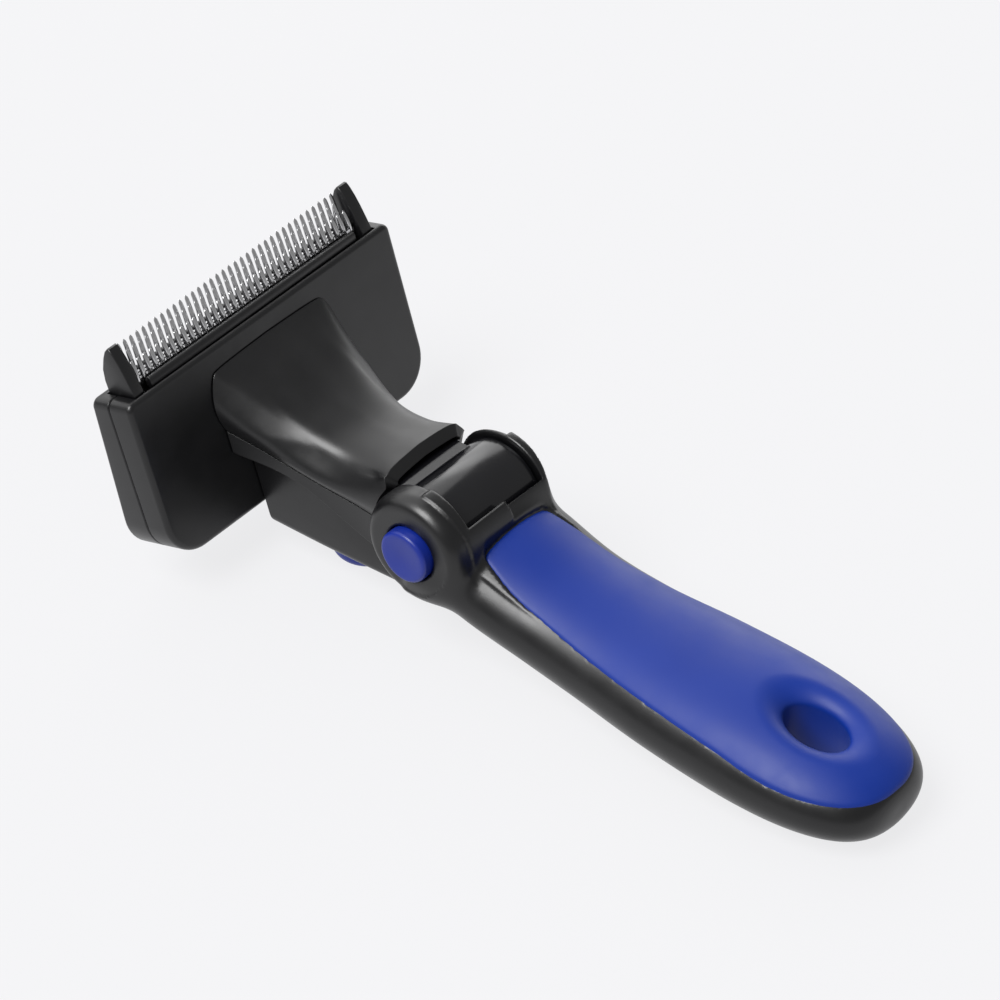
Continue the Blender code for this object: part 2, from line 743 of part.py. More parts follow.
def make_neck_bottom_shell(parent, look):
    """The lower shell, with the fur button's slot and the counterbores of the neck screws."""
    shell = make_object("neck_bottom_shell", *neck_shell(bottom_profile), look, parent)
    lean = EJECT_TRAVEL * math.sin(TILT)
    slot = []
    for z in (-30.0, -12.0):
        ring = []
        for i in range(ROUND):
            angle = 2 * math.pi * (i + 0.5) / ROUND
            x = FUR_BUTTON_X - lean / 2 + (FUR_BUTTON_RADIUS + lean / 2 + 0.5) * math.cos(angle)
            ring.append((x, (FUR_BUTTON_RADIUS + 0.5) * math.sin(angle), z))
        slot.append(ring)
    change(shell, make_object("cut_fur_slot", *loft(slot), None, parent))
    for side in (-1, 1):
        profile = (
            (-25.0, SCREW_HEAD_RADIUS + GAP),
            (KEEL_BOTTOM + 1.2, SCREW_HEAD_RADIUS + GAP),
            (KEEL_BOTTOM + 1.2, SCREW_RADIUS + GAP),
            (-14.0, SCREW_RADIUS + GAP),
        )
        bore = loft(upright(profile, NECK_SCREW_X, side * NECK_SCREW_Y, 16))
        change(shell, make_object(f"cut_neck_screw_{side}", *bore, None, parent))
    return shell


def make_hinge_barrel(parent, look):
    """The knuckle between the ears, with a tongue that the neck's shells close round."""
    barrel = make_object(
        "hinge_barrel",
        *loft(turned(((-BARREL_HALF_WIDTH, BARREL_RADIUS), (BARREL_HALF_WIDTH, BARREL_RADIUS)))),
        look, parent,
    )
    wide = TONGUE_HALF_WIDTH
    tongue = loft(block((TONGUE_BACK_X, -wide, -6.5), (-9.0, wide, 4.0)))
    change(barrel, make_object("barrel_tongue", *tongue, None, parent), "UNION")
    wide, narrow = GEAR_RADIUS + 0.4, PIN_RADIUS + RUNNING
    bore = loft(turned(((-15.0, wide), (2.0, wide), (2.0, narrow), (15.0, narrow))))
    change(barrel, make_object("cut_barrel_bore", *bore, None, parent))
    for side in (-1, 1):
        reach = SCREW_RADIUS + 0.1
        bore = loft(upright(((-8.0, reach), (2.0, reach)), NECK_SCREW_X, side * NECK_SCREW_Y, 16))
        change(barrel, make_object(f"cut_tongue_screw_{side}", *bore, None, parent))
    return barrel


def make_neck_screw(name, side, parent, look):
    profile = (
        (KEEL_BOTTOM + 0.1, SCREW_HEAD_RADIUS),
        (KEEL_BOTTOM + 1.0, SCREW_HEAD_RADIUS),
        (KEEL_BOTTOM + 1.0, SCREW_RADIUS),
        (1.0, SCREW_RADIUS),
    )
    return make_object(name, *loft(upright(profile, NECK_SCREW_X, side * NECK_SCREW_Y, 16)), look, parent)


# Head group: plate, comb and guards


def plate_outline(inset):
    """The plate's outline, (y, up), with rounded corners and sides that close in towards the bottom."""
    corners = (
        (1, -inset, PLATE_TOP_CORNER, PLATE_HALF_WIDTH, 0),
        (-1, -inset, PLATE_TOP_CORNER, PLATE_HALF_WIDTH, 90),
        (-1, inset - PLATE_HEIGHT, PLATE_BOTTOM_CORNER, PLATE_HALF_WIDTH - PLATE_TAPER, 180),
        (1, inset - PLATE_HEIGHT, PLATE_BOTTOM_CORNER, PLATE_HALF_WIDTH - PLATE_TAPER, 270),
    )
    points = []
    for side, edge, radius, half_width, start in corners:
        radius = max(radius - inset, 0.4)
        up = edge - radius if start < 180 else edge + radius
        points += arc(side * (half_width - inset - radius), up, radius, start, 4)
    return points


def plate_ring(back, inset):
    return [on_plate(back, y, up) for y, up in plate_outline(inset)]


def back_ring(back, inset):
    """A ring of the plate's back, which leans away from the front towards the bottom."""
    return [
        on_plate(back - PLATE_WEDGE * up / PLATE_HEIGHT, y, up) for y, up in plate_outline(inset)
    ]


def head_screw_places():
    return [(side * HEAD_SCREW_Y, up) for side in (-1, 1) for up in HEAD_SCREW_UPS]


def top_slot(parent):
    low, high = (SLOT_FRONT, -SLOT_HALF_LENGTH, -4.0), (SLOT_BACK, SLOT_HALF_LENGTH, 4.0)
    return make_object("cut_top_slot", *loft(plate_block(low, high)), None, parent)


def make_head_front_shell(parent, look, slot):
    """The plate that faces the handle, with a boss for each head screw and a window for the pusher arm."""
    rings = [(0.0, 1.5), (0.45, 0.5), (1.4, 0.0), (PLATE_SEAM - GAP / 2, 0.0)]
    shell = make_object("head_front_shell", *loft([plate_ring(*ring) for ring in rings]), look, parent)
    cavity = [plate_ring(PLATE_WALL, 2.0), plate_ring(PLATE_SEAM + 2.0, 2.0)]
    change(shell, make_object("cut_front_cavity", *loft(cavity), None, parent))
    change(shell, slot)
    window = loft(plate_block((-2.0, -6.5, -28.9), (3.0, 6.5, -16.5)))
    change(shell, make_object("cut_arm_window", *window, None, parent))
    for i, (y, up) in enumerate(head_screw_places()):
        boss = loft(plate_turned(((PLATE_WALL - 0.5, HEAD_BOSS_RADIUS), (9.8, HEAD_BOSS_RADIUS)), y, up))
        change(shell, make_object(f"head_boss_{i}", *boss, None, parent), "UNION")
    for i, (y, up) in enumerate(head_screw_places()):
        bore = loft(plate_turned(((3.6, SCREW_RADIUS + 0.1), (12.5, SCREW_RADIUS + 0.1)), y, up))
        change(shell, make_object(f"head_bore_{i}", *bore, None, parent))
    return shell


def make_head_back_shell(parent, look, slot):
    depth = PLATE_THICKNESS
    rings = [plate_ring(PLATE_SEAM + GAP / 2, 0.0)]
    rings += [back_ring(depth - 1.4, 0.0), back_ring(depth - 0.45, 0.5), back_ring(depth, 1.5)]
    shell = make_object("head_back_shell", *loft(rings), look, parent)
    cavity = [plate_ring(PLATE_SEAM - 2.0, 2.0), back_ring(depth - 1.8, 2.0)]
    change(shell, make_object("cut_back_cavity", *loft(cavity), None, parent))
    change(shell, slot)
    for i, (y, up) in enumerate(head_screw_places()):
        profile = (
            (9.0, SCREW_RADIUS + GAP),
            (depth - 1.1, SCREW_RADIUS + GAP),
            (depth - 1.1, SCREW_HEAD_RADIUS + GAP),
            (depth + PLATE_WEDGE + 1.0, SCREW_HEAD_RADIUS + GAP),
        )
        change(shell, make_object(f"back_bore_{i}", *loft(plate_turned(profile, y, up)), None, parent))
    return shell


def make_head_screw(name, y, up, parent, look):
    profile = (
        (4.4, SCREW_RADIUS),
        (PLATE_THICKNESS - 1.0, SCREW_RADIUS),
        (PLATE_THICKNESS - 1.0, SCREW_HEAD_RADIUS),
        (PLATE_THICKNESS - 0.1, SCREW_HEAD_RADIUS),
    )
    return make_object(name, *loft(plate_turned(profile, y, up)), look, parent)


def comb_outline(tip, shift, count):
    """A comb blade's outline, (y, up): a straight foot and a row of pointed teeth."""
    half = TOOTH_PITCH * TOOTH_COUNT / 2 - 0.2
    root = tip * 0.3
    points = [(-half, BLADE_FOOT), (half, BLADE_FOOT)]
    for i in reversed(range(count)):
        middle = TOOTH_PITCH * (i + 0.5 + shift - TOOTH_COUNT / 2)
        wide = TOOTH_WIDTH / 2
        points += [(middle + wide, root), (middle, tip), (middle - wide, root)]
    return points


def make_blade(name, back, tip, shift, count, parent, look):
    outline = comb_outline(tip, shift, count)
    rings = [[on_plate(b, y, up) for y, up in outline] for b in (back, back + BLADE_THICKNESS)]
    blade = make_object(name, *loft(rings), look, parent, smooth=False)
    for side in (-1, 1):
        reach = SCREW_RADIUS + 0.2
        bore = loft(plate_turned(((0.0, reach), (12.0, reach)), side * BLADE_SCREW_Y, BLADE_SCREW_UP))
        change(blade, make_object(f"{name}_bore_{side}", *bore, None, parent))
    return blade


def plate_extrusion(outline, start, end):
    """Rings of an outline, (back, up), drawn along the row of teeth."""
    return [[on_plate(back, y, up) for back, up in outline] for y in (start, end)]


def make_blade_holder(parent, look):
    """The bar that carries the comb: a base along the whole head and a plate behind the blades."""
    low, high = BLADE_FOOT - 0.3, HOLDER_BASE
    outline = ((3.3, high), (8.6, high), (8.6, -1.4), (7.6, -1.4), (7.6, low), (3.3, low))
    half = SLOT_HALF_LENGTH - 0.3
    holder = make_object("blade_holder", *loft(plate_extrusion(outline, -half, half)), look, parent)
    for side in (-1, 1):
        reach = SCREW_RADIUS + 0.1
        bore = loft(plate_turned(((6.0, reach), (12.0, reach)), side * BLADE_SCREW_Y, BLADE_SCREW_UP))
        change(holder, make_object(f"holder_bore_{side}", *bore, None, parent))
    return holder


def make_blade_screw(name, side, parent, look):
    profile = ((2.75, 2.2), (3.35, 2.2), (3.35, SCREW_RADIUS), (8.5, SCREW_RADIUS))
    screw = plate_turned(profile, side * BLADE_SCREW_Y, BLADE_SCREW_UP)
    return make_object(name, *loft(screw), look, parent)


def make_skin_guard(name, side, parent, look):
    """A fin at the end of the comb. Its foot stands in the head's top slot."""
    fin = [(9.4, 0.3), (9.6, 3.0), (9.2, 5.8), (8.0, 8.6), (6.6, 10.7), (5.7, GUARD_HEIGHT)]
    fin += [(5.0, 10.7), (3.9, 8.4), (3.0, 5.8), (2.3, 3.0), (1.5, 0.3)]
    foot = [(1.5, -1.0), (2.2, -1.0), (2.2, -8.5), (7.2, -8.5), (7.2, -1.0), (9.4, -1.0)]
    rings = plate_extrusion(fin + foot, side * GUARD_INSIDE, side * GUARD_OUTSIDE)
    return make_object(name, *loft(rings), look, parent)


# Ejector group


def make_ejector_frame(parent, look):
    """Two rounded bars along the foot of the teeth, joined by a channel that runs under the blade holder."""
    front_bar = [(1.8, -0.2), (1.3, -0.2), (1.3, 1.4), (1.7, 2.1), (2.5, 2.2), (3.0, 1.6), (3.0, -0.3)]
    channel = [(2.6, -0.3), (2.6, FRAME_FLOOR + 2.0), (8.9, FRAME_FLOOR + 2.0), (8.9, -0.8)]
    back_bar = [(8.0, -0.8), (8.0, 1.4), (8.4, 2.0), (9.2, 2.0), (9.6, 1.5)]
    floor = [(9.6, FRAME_FLOOR), (1.8, FRAME_FLOOR)]
    rings = plate_extrusion(front_bar + channel + back_bar + floor, -FRAME_HALF_WIDTH, FRAME_HALF_WIDTH)
    return make_object("ejector_frame", *loft(rings), look, parent)


def make_pusher_arm(parent, look):
    """The bracket from the fur button, through the plate's window, to the ejector frame."""

    def at_frame(z):
        back = 1.5
        up = (z - PLATE_Z + back * math.sin(TILT)) / math.cos(TILT)
        return on_plate(back, 0.0, up)[0]

    top, bottom, foot = -1.2, -4.0, -14.0
    near, far = FUR_BUTTON_X + 4.0, FUR_BUTTON_X - 4.0
    outline = [(at_frame(top), top), (near, top), (near, foot), (far, foot), (far, bottom)]
    outline.append((at_frame(bottom), bottom))
    rings = [[(x, y, z) for x, z in outline] for y in (-5.0, 5.0)]
    return make_object("pusher_arm", *loft(rings), look, parent)


def make_fur_button(parent, look):
    radius, low = FUR_BUTTON_RADIUS, -HINGE_HEIGHT
    profile = (
        (low, radius - 3.0),
        (low + 0.5, radius - 1.4),
        (low + 1.4, radius - 0.5),
        (low + 3.0, radius),
        (-14.3, radius),
    )
    return make_object("fur_button", *loft(upright(profile, FUR_BUTTON_X, 0.0)), look, parent)


def make_return_spring(name, side, parent, look):
    floor = FRAME_FLOOR + 2.0 + GAP

    def place(a, b, along):
        return on_plate(5.75 + a, side * 20.0 + b, floor + along)

    length = HOLDER_BASE - GAP - floor
    return make_object(name, *coil(place, length, SPRING_RADIUS, SPRING_WIRE, 4), look, parent)


def build():
    clear_scene()
    black = make_material("black_plastic", PLASTIC_BLACK)
    gloss = make_material("gloss_black", PLASTIC_GLOSS)
    blue = make_material("soft_blue", SOFT_BLUE)
    button_blue = make_material("button_blue", BUTTON_BLUE)
    steel = make_material("steel", STEEL)
    nylon = make_material("nylon", NYLON)

    handle = make_axis("handle_axis")
    make_handle_shell(handle, black)
    make_grip(handle, blue)
    make_grip_carrier(handle, nylon)
    make_handle_cover(handle, black)
    for i, x in enumerate(COVER_SCREWS_X):
        make_cover_screw(f"cover_screw_{i + 1}", x, handle, steel)
    make_pivot_pin(handle, steel)
    make_pivot_cap(handle, black)

    lock = make_axis("lock_push_axis")
    make_lock_button(lock, button_blue)
    make_lock_gear(lock, nylon)
    make_lock_spring(lock, steel)

    head = make_axis("head_tilt_axis")
    make_neck_top_shell(head, black)
    make_neck_bottom_shell(head, black)
    make_hinge_barrel(head, gloss)
    slot = top_slot(head)
    make_head_front_shell(head, black, slot)
    make_head_back_shell(head, black, slot)
    for i, (y, up) in enumerate(head_screw_places()):
        make_head_screw(f"head_screw_{i + 1}", y, up, head, steel)
    for blade in BLADES:
        make_blade(*blade, head, steel)
    make_blade_holder(head, nylon)
    for name, side in (("left", -1), ("right", 1)):
        make_neck_screw(f"neck_screw_{name}", side, head, steel)
        make_blade_screw(f"blade_screw_{name}", side, head, steel)
        make_skin_guard(f"skin_guard_{name}", side, head, black)

    ejector = make_axis("ejector_slide_axis")
    make_ejector_frame(ejector, black)
    make_pusher_arm(ejector, nylon)
    make_fur_button(ejector, button_blue)
    for name, side in (("left", -1), ("right", 1)):
        make_return_spring(f"return_spring_{name}", side, ejector, steel)


build()
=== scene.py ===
"""The looks of the deshedding tool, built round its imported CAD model.

Places are in millimetres from the pivot axis, which runs along Y: +X along the handle to its free
end, +Z up, the way the teeth point. The head has its own directions: "back" away from the handle
and "up" along the teeth, both from the front top edge of the head plate.
"""

import json
import math

import bmesh
import bpy
import numpy as np
import openvdb
from mathutils import Matrix, Vector


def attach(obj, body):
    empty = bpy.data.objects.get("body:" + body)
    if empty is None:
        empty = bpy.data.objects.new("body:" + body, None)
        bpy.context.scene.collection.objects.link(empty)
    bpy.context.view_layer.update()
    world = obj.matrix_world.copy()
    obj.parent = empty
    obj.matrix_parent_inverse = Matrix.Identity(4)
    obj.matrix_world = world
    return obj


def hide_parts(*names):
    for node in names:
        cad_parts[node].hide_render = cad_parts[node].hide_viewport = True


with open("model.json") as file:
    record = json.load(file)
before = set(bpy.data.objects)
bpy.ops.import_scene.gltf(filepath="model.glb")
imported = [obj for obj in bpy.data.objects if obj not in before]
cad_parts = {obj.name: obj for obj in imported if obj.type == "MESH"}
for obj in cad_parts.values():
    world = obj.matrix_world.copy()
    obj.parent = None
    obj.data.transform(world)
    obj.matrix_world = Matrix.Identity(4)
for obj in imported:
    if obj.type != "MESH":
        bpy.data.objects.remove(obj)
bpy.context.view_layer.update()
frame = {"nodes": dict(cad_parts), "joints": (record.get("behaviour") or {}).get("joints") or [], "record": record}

MM = 0.001
TILT_JOINT = next(joint for joint in frame["joints"] if joint["name"] == "head_tilt")
PIVOT = Vector(TILT_JOINT["pos_m"])
FLOOR = -PIVOT.z / MM
GAP = 0.3  # between pieces that touch

# Pivot
EAR_RADIUS = 12.8
EAR_INSIDE = 12.1  # |y| of the faces that look at each other
EAR_SHOULDER = 15.2  # |y| where the button ear's flank begins to round off
EAR_OUTSIDE = 19.0
EAR_FLAT_RADIUS = 10.2
BAND_RADIUS = 13.4  # of the ears' inner half, where it rises behind the pivot
FAR_EAR_RADIUS = 12.4
FAR_EAR_OUTSIDE = 16.0
FAR_EAR_FLAT_RADIUS = 8.2
CAP_RADIUS = 7.1
BARREL_RADIUS = 10.8
BARREL_HALF_WIDTH = 11.7
PIN_RADIUS = 3.0
BUTTON_RADIUS = 6.2
BUTTON_FACE = 21.5
GEAR_RADIUS = 8.0

# Handle
HANDLE_END = 116.15
END_START = 80.0  # where the round end begins
HALF_WIDTHS = (
    (0, 19.0), (14, 18.0), (28, 17.2), (42, 17.7), (62, 19.6), (END_START, 20.2), (HANDLE_END, 17.9)
)
TOPS = ((0, 3.2), (8, 2.9), (14, 1.7), (28, -1.5), (42, -3.0), (62, -3.4), (80, -3.6), (HANDLE_END, -7.9))
BOTTOMS = ((0, -14.2), (14, -19.9), (28, -22.8), (42, -24.4), (62, -25.9), (80, -27.2), (HANDLE_END, -28.0))
HANDLE_ROUNDING = (3.3, 3.2)  # exponents of the round end's outline, along and across
FAR_WAIST = 3.0  # how much narrower the handle is beside the far ear
FAR_WAIST_END = 16.0
BAND_HALF_WIDTHS = ((0, EAR_SHOULDER), (8, 14.9), (13, 13.9), (22, 13.5), (32, 13.2))
BAND_RISES = ((0, 0.6), (13, 0.5), (22, 0.3), (32, 0.0))
BAND_END = 32.0

# Grip
GRIP_FRONT = 12.8
GRIP_END_START = 87.0
GRIP_END = 115.2
GRIP_ROUNDING = (2.2, 2.4)
GRIP_HALF_WIDTHS = (
    (GRIP_FRONT, 10.4), (22, 12.4), (31, 13.1), (45, 14.7), (60, 16.5), (74, 17.6), (GRIP_END_START, 18.1)
)
GRIP_THICKNESS = 2.6
GRIP_RISE = 0.22  # of its skin over the handle's
GRIP_LAP = 0.7  # by which it covers the pocket's edge
POCKET_DEPTH = 6.1
HOLE_X = 94.0
HOLE_HALF_LENGTH = 7.8
HOLE_HALF_WIDTH = 5.4
HOLE_WALL = 1.8
HOLE_ROUNDING = 5.0

# Handle cover, on the underside
COVER_START = 24.0
COVER_END = 77.0
COVER_HALF_WIDTH = 8.0
COVER_THICKNESS = 2.4
COVER_SCREWS_X = (32.0, 50.0, 70.0)
SCREW_RADIUS = 1.2
SCREW_HEAD_RADIUS = 2.4

# Head plate
TILT = math.radians(18.5)
PLATE_X = -58.3
PLATE_Z = 23.2
PLATE_HALF_WIDTH = 42.0
PLATE_HEIGHT = 39.5
PLATE_TAPER = 0.5
PLATE_THICKNESS = 11.88
PLATE_WEDGE = 2.85  # how much thicker the plate is at the bottom
PLATE_SEAM = 6.6
PLATE_TOP_CORNER = 2.0
PLATE_BOTTOM_CORNER = 9.0
SLOT_HALF_LENGTH = 38.7
SLOT_FRONT = 1.0
SLOT_BACK = 9.8
HEAD_SCREW_Y = 35.7
HEAD_SCREW_UPS = (-19.0, -30.5)

# Comb
TOOTH_PITCH = 1.95
TOOTH_COUNT = 36
TOOTH_HALF_WIDTH = 0.6
BLADE_FOOT = -9.8
# name, front and rear of the teeth at their roots, height of the tips, shift along the row, tooth count
BLADES = (
    ("blade_front", 3.2, 4.55, 6.3, 0.0, TOOTH_COUNT),
    ("blade_middle", 4.65, 5.9, 8.6, 0.5, TOOTH_COUNT - 1),
    ("blade_back", 6.0, 7.2, 10.3, 0.0, TOOTH_COUNT),
)
GUARD_INSIDE = 35.3
GUARD_OUTSIDE = 38.3

# Ejector
FRAME_HALF_WIDTH = 33.0
FRAME_FLOOR = -29.0

# Neck
NECK_WALL = 2.0
NECK_START = -12.0
NECK_END = -56.0
NECK_HINGE_RADIUS = 12.9
NECK_EAR_RADIUS = 13.8  # of the neck's end beside the barrel, where it faces the ears
NECK_LIP_Z = 7.3
NECK_HALF_WIDTHS = ((NECK_END, 18.6), (-45, 15.9), (-33, 13.9), (-20, 12.9), (NECK_START, 12.9))
NECK_EDGES = ((NECK_END, 17.8), (-45, 14.6), (-33, 12.4), (-20, 11.8), (NECK_START, 12.0))
NECK_SHOULDERS = ((NECK_END, 1.2), (-46, 3.2), (-33, 4.4), (-20, 3.4), (NECK_START, 1.6))
NECK_SWELL = 1.9
NECK_TOPS = ((NECK_END, 18.5), (-49.4, 15.4), (-41, 11.6), (-28.7, 8.7), (-20, 8.9), (NECK_START, 9.9))
NECK_SEAMS = ((NECK_END, 5.6), (-33, -0.5), (NECK_START, -2.3))
NECK_CREASES = ((NECK_END, 0.3), (-38, -2.8), (-26, -8.0), (NECK_START, -14.0))
KEEL_HALF_WIDTHS = ((NECK_END, 13.8), (-44, 13.4), (NECK_START, 11.5))
KEEL_BOTTOM = -19.5
KEEL_FRONT_X = -3.0
FUR_BUTTON_X = -28.5
FUR_BUTTON_RADIUS = 8.0
NECK_SCREW_X = -15.5
NECK_SCREW_Y = 5.0

ROUND = 96  # sides of a round piece


# Curves and signed distances


def curve(points, x):
    """A smooth line through a few (x, value) points, read at every x."""
    xs = np.array([point[0] for point in points], float)
    values = np.array([point[1] for point in points], float)
    slopes = np.gradient(values, xs)
    i = np.clip(np.searchsorted(xs, x) - 1, 0, len(xs) - 2)
    step = xs[i + 1] - xs[i]
    t = np.clip((x - xs[i]) / step, 0.0, 1.0)
    rise = (2 * t - 3) * t * t + 1
    bend = (t * (1 - t) ** 2 * slopes[i] - t * t * (1 - t) * slopes[i + 1]) * step
    return rise * values[i] + (1 - rise) * values[i + 1] + bend


def union(a, b, blend):
    """The nearer of two distances, with a fillet about as wide as blend."""
    near = np.maximum(blend - np.abs(a - b), 0.0) / blend
    return np.minimum(a, b) - near * near * blend / 4


def both(a, b, blend):
    """The farther of two distances, with its edge rounded off."""
    return -union(-a, -b, blend)


def without(a, b, blend):
    return both(a, -b, blend)


def rounded(a, b, radius):
    """What is inside both a and b, with a round edge of that radius."""
    u, v = np.maximum(a + radius, 0.0), np.maximum(b + radius, 0.0)
    return np.where((u > 0) & (v > 0), np.hypot(u, v) - radius, np.maximum(a, b))


def handle_middle(x):
    return (curve(TOPS, x) + curve(BOTTOMS, x)) / 2


def round_end(along, across, slope, length, rounding):
    """Distance from an outline that ends round. along and across reach 1 on it, together or alone."""
    m, n = rounding
    level = along**m + across**n - 1.0
    return level / np.hypot(m * along ** (m - 1) / length, n * across ** (n - 1) * slope)


def hull(x, y, z):
    """The handle's plain body: elliptical sections and a round end."""
    waist = FAR_WAIST * np.maximum(1.0 - np.maximum(x, 0.0) / FAR_WAIST_END, 0.0) ** 2
    wide = curve(HALF_WIDTHS, x) - np.where(y > 0, waist, 0.0)
    high = (curve(TOPS, x) - curve(BOTTOMS, x)) / 2
    rise = z - handle_middle(x)
    reach = np.sqrt((y / wide) ** 2 + (rise / high) ** 2) + 1e-6
    slope = np.sqrt((y / wide**2) ** 2 + (rise / high**2) ** 2) / reach + 1e-6
    length = HANDLE_END - END_START
    along = np.maximum(x - END_START, 0.0) / length
    return round_end(along, reach, slope, length, HANDLE_ROUNDING)


def flat_hull(x, y, z):
    """The body with the flat on its belly that the tool rests on."""
    return both(hull(x, y, z), FLOOR - z, 0.5)


def grip_plan(x, y):
    """Distance in plan from the grip's outline."""
    length, width = GRIP_END - GRIP_END_START, GRIP_HALF_WIDTHS[-1][1]
    along, across = np.maximum(x - GRIP_END_START, 0.0) / length, np.abs(y) / width + 1e-6
    end = round_end(along, across, 1.0 / width, length, GRIP_ROUNDING)
    body = np.where(x > GRIP_END_START, end, np.abs(y) - curve(GRIP_HALF_WIDTHS, x))
    return both(body, GRIP_FRONT - x, 1.5)


def hole_plan(x, y):
    """Distance in plan from the hanging hole's wall, negative in the hole."""
    return (np.hypot((x - HOLE_X) / HOLE_HALF_LENGTH, y / HOLE_HALF_WIDTH) - 1.0) * HOLE_HALF_WIDTH


def cover_plan(x, y):
    """Distance in plan from the outline of the underside cover."""
    first, last = COVER_START + COVER_HALF_WIDTH, COVER_END - COVER_HALF_WIDTH
    return np.hypot(x - np.clip(x, first, last), y) - COVER_HALF_WIDTH


def ears(x, y, z):
    """The two fork ears and the space between them: a disc, domed on both outer faces."""
    reach = np.hypot(x, z)
    shoulder = np.where(y < 0, EAR_SHOULDER, EAR_INSIDE)
    outside = np.where(y < 0, EAR_OUTSIDE, FAR_EAR_OUTSIDE)
    radius = np.where(y < 0, EAR_RADIUS, FAR_EAR_RADIUS)
    flat = np.where(y < 0, EAR_FLAT_RADIUS, FAR_EAR_FLAT_RADIUS)
    power = np.where(y < 0, 2.0, 1.3)
    u = np.maximum(np.abs(y) - shoulder, 0.0) / (outside - shoulder)
    v = np.maximum(reach - flat, 0.0) / (radius - flat)
    dome = ((u**power + v**power) ** (1 / power) - 1.0) * (radius - flat) * 0.8
    return np.where((u > 0) & (v > 0), dome, np.maximum(np.abs(y) - outside, reach - radius))


def band(x, y, z):
    """The inner half of each ear behind its top, a little proud, which runs on beside the grip."""
    disc_part = np.maximum(np.hypot(x, z) - np.where(y < 0, BAND_RADIUS, FAR_EAR_RADIUS), -z)
    strip = np.maximum(hull(x, y, z) - curve(BAND_RISES, x), x - BAND_END)
    inner = np.abs(y) - np.where(y < 0, curve(BAND_HALF_WIDTHS, x), curve(BAND_HALF_WIDTHS, x) - 1.0)
    return np.maximum(both(union(disc_part, strip, 2.0), inner, 0.4), -x)


def fork(x, y, z):
    """The space between the ears, round the barrel and open above and ahead of it."""
    opening = np.minimum(np.hypot(x, z) - BARREL_RADIUS - 0.35, np.maximum(x - BARREL_RADIUS + 0.4, -z))
    return np.maximum(np.abs(y) - EAR_INSIDE, np.minimum(opening, x + 1.0))


def disc(x, y, z, radius, start, end):
    """A cylinder round the pivot axis."""
    return np.maximum(np.hypot(x, z) - radius, np.abs(y - (start + end) / 2) - abs(end - start) / 2)


def handle_field(x, y, z):
    body = both(flat_hull(x, y, z), 0.5 - x, 1.0)
    shape = union(body, ears(x, y, z), 4.0)
    shape = union(shape, band(x, y, z), 0.3)
    shape = without(shape, np.maximum(grip_plan(x, y), -hull(x, y, z)), 0.1)
    shape = without(shape, fork(x, y, z), 0.5)
    pocket = np.maximum(grip_plan(x, y) + GRIP_LAP, -(hull(x, y, z) + POCKET_DEPTH))
    shape = without(shape, np.maximum(pocket, handle_middle(x) - z), 0.3)
    below = np.maximum(cover_plan(x, y) - GAP, -(hull(x, y, z) + COVER_THICKNESS + GAP))
    shape = without(shape, np.maximum(below, z - handle_middle(x)), 0.3)
    shape = without(shape, hole_plan(x, y) - HOLE_WALL - 0.2, 0.4)
    shape = without(shape, disc(x, y, z, BUTTON_RADIUS + 0.25, -24.0, -14.0), 0.5)
    shape = without(shape, disc(x, y, z, GEAR_RADIUS + GAP, -15.4, -11.0), 0.2)
    shape = without(shape, disc(x, y, z, CAP_RADIUS + GAP, FAR_EAR_OUTSIDE, 24.0), 0.4)
    return without(shape, disc(x, y, z, PIN_RADIUS + 0.1, 11.0, 24.0), 0.2)


def grip_field(x, y, z):
    skin = np.maximum(-(hull(x, y, z) + GRIP_THICKNESS), handle_middle(x) - z)
    lining = union(skin, hole_plan(x, y) - HOLE_WALL, 1.0)
    outside = rounded(flat_hull(x, y, z) - GRIP_RISE, -hole_plan(x, y), HOLE_ROUNDING)
    return both(both(outside, grip_plan(x, y), 0.7), lining, 0.3)


def cover_field(x, y, z):
    depth = np.maximum(-(hull(x, y, z) + COVER_THICKNESS), z - handle_middle(x))
    shape = both(both(flat_hull(x, y, z), cover_plan(x, y), 0.5), depth, 0.3)
    for place in COVER_SCREWS_X:
        reach = np.hypot(x - place, y)
        head = np.maximum(reach - SCREW_HEAD_RADIUS - GAP, -(hull(x, y, z) + 1.3))
        shape = without(shape, np.minimum(head, reach - SCREW_RADIUS - GAP), 0.2)
    return shape


# Meshes


def place(points):
    """Points in millimetres from the pivot, as an array in the frame's metres."""
    return np.asarray(points, float) * MM + np.array(PIVOT)


def on_plate(back, y, up):
    """A point given in the head's own directions."""
    return (
        PLATE_X - back * math.cos(TILT) - up * math.sin(TILT),
        y,
        PLATE_Z - back * math.sin(TILT) + up * math.cos(TILT),
    )


def make_object(name, points, faces, look=None):
    """A mesh object from points in millimetres, with its faces turned outward."""
    mesh = bpy.data.meshes.new(name)
    mesh.from_pydata([tuple(point) for point in place(points)], [], [tuple(face) for face in faces])
    shape = bmesh.new()
    shape.from_mesh(mesh)
    bmesh.ops.remove_doubles(shape, verts=shape.verts, dist=1e-7)
    bmesh.ops.recalc_face_normals(shape, faces=shape.faces)
    shape.to_mesh(mesh)
    shape.free()
    obj = bpy.data.objects.new(name, mesh)
    bpy.context.scene.collection.objects.link(obj)
    if look:
        mesh.materials.append(look)
    return obj


def soften(obj, angle=35.0):
    """Smooth shading, except over edges sharper than the angle."""
    obj.data.shade_smooth()
    obj.data.set_sharp_from_angle(angle=math.radians(angle))
    return obj


def settle(obj):
    """Applies the object's modifiers."""
    graph = bpy.context.evaluated_depsgraph_get()
    graph.update()
    mesh = bpy.data.meshes.new_from_object(obj.evaluated_get(graph))
    obj.modifiers.clear()
    obj.data = mesh
    return obj


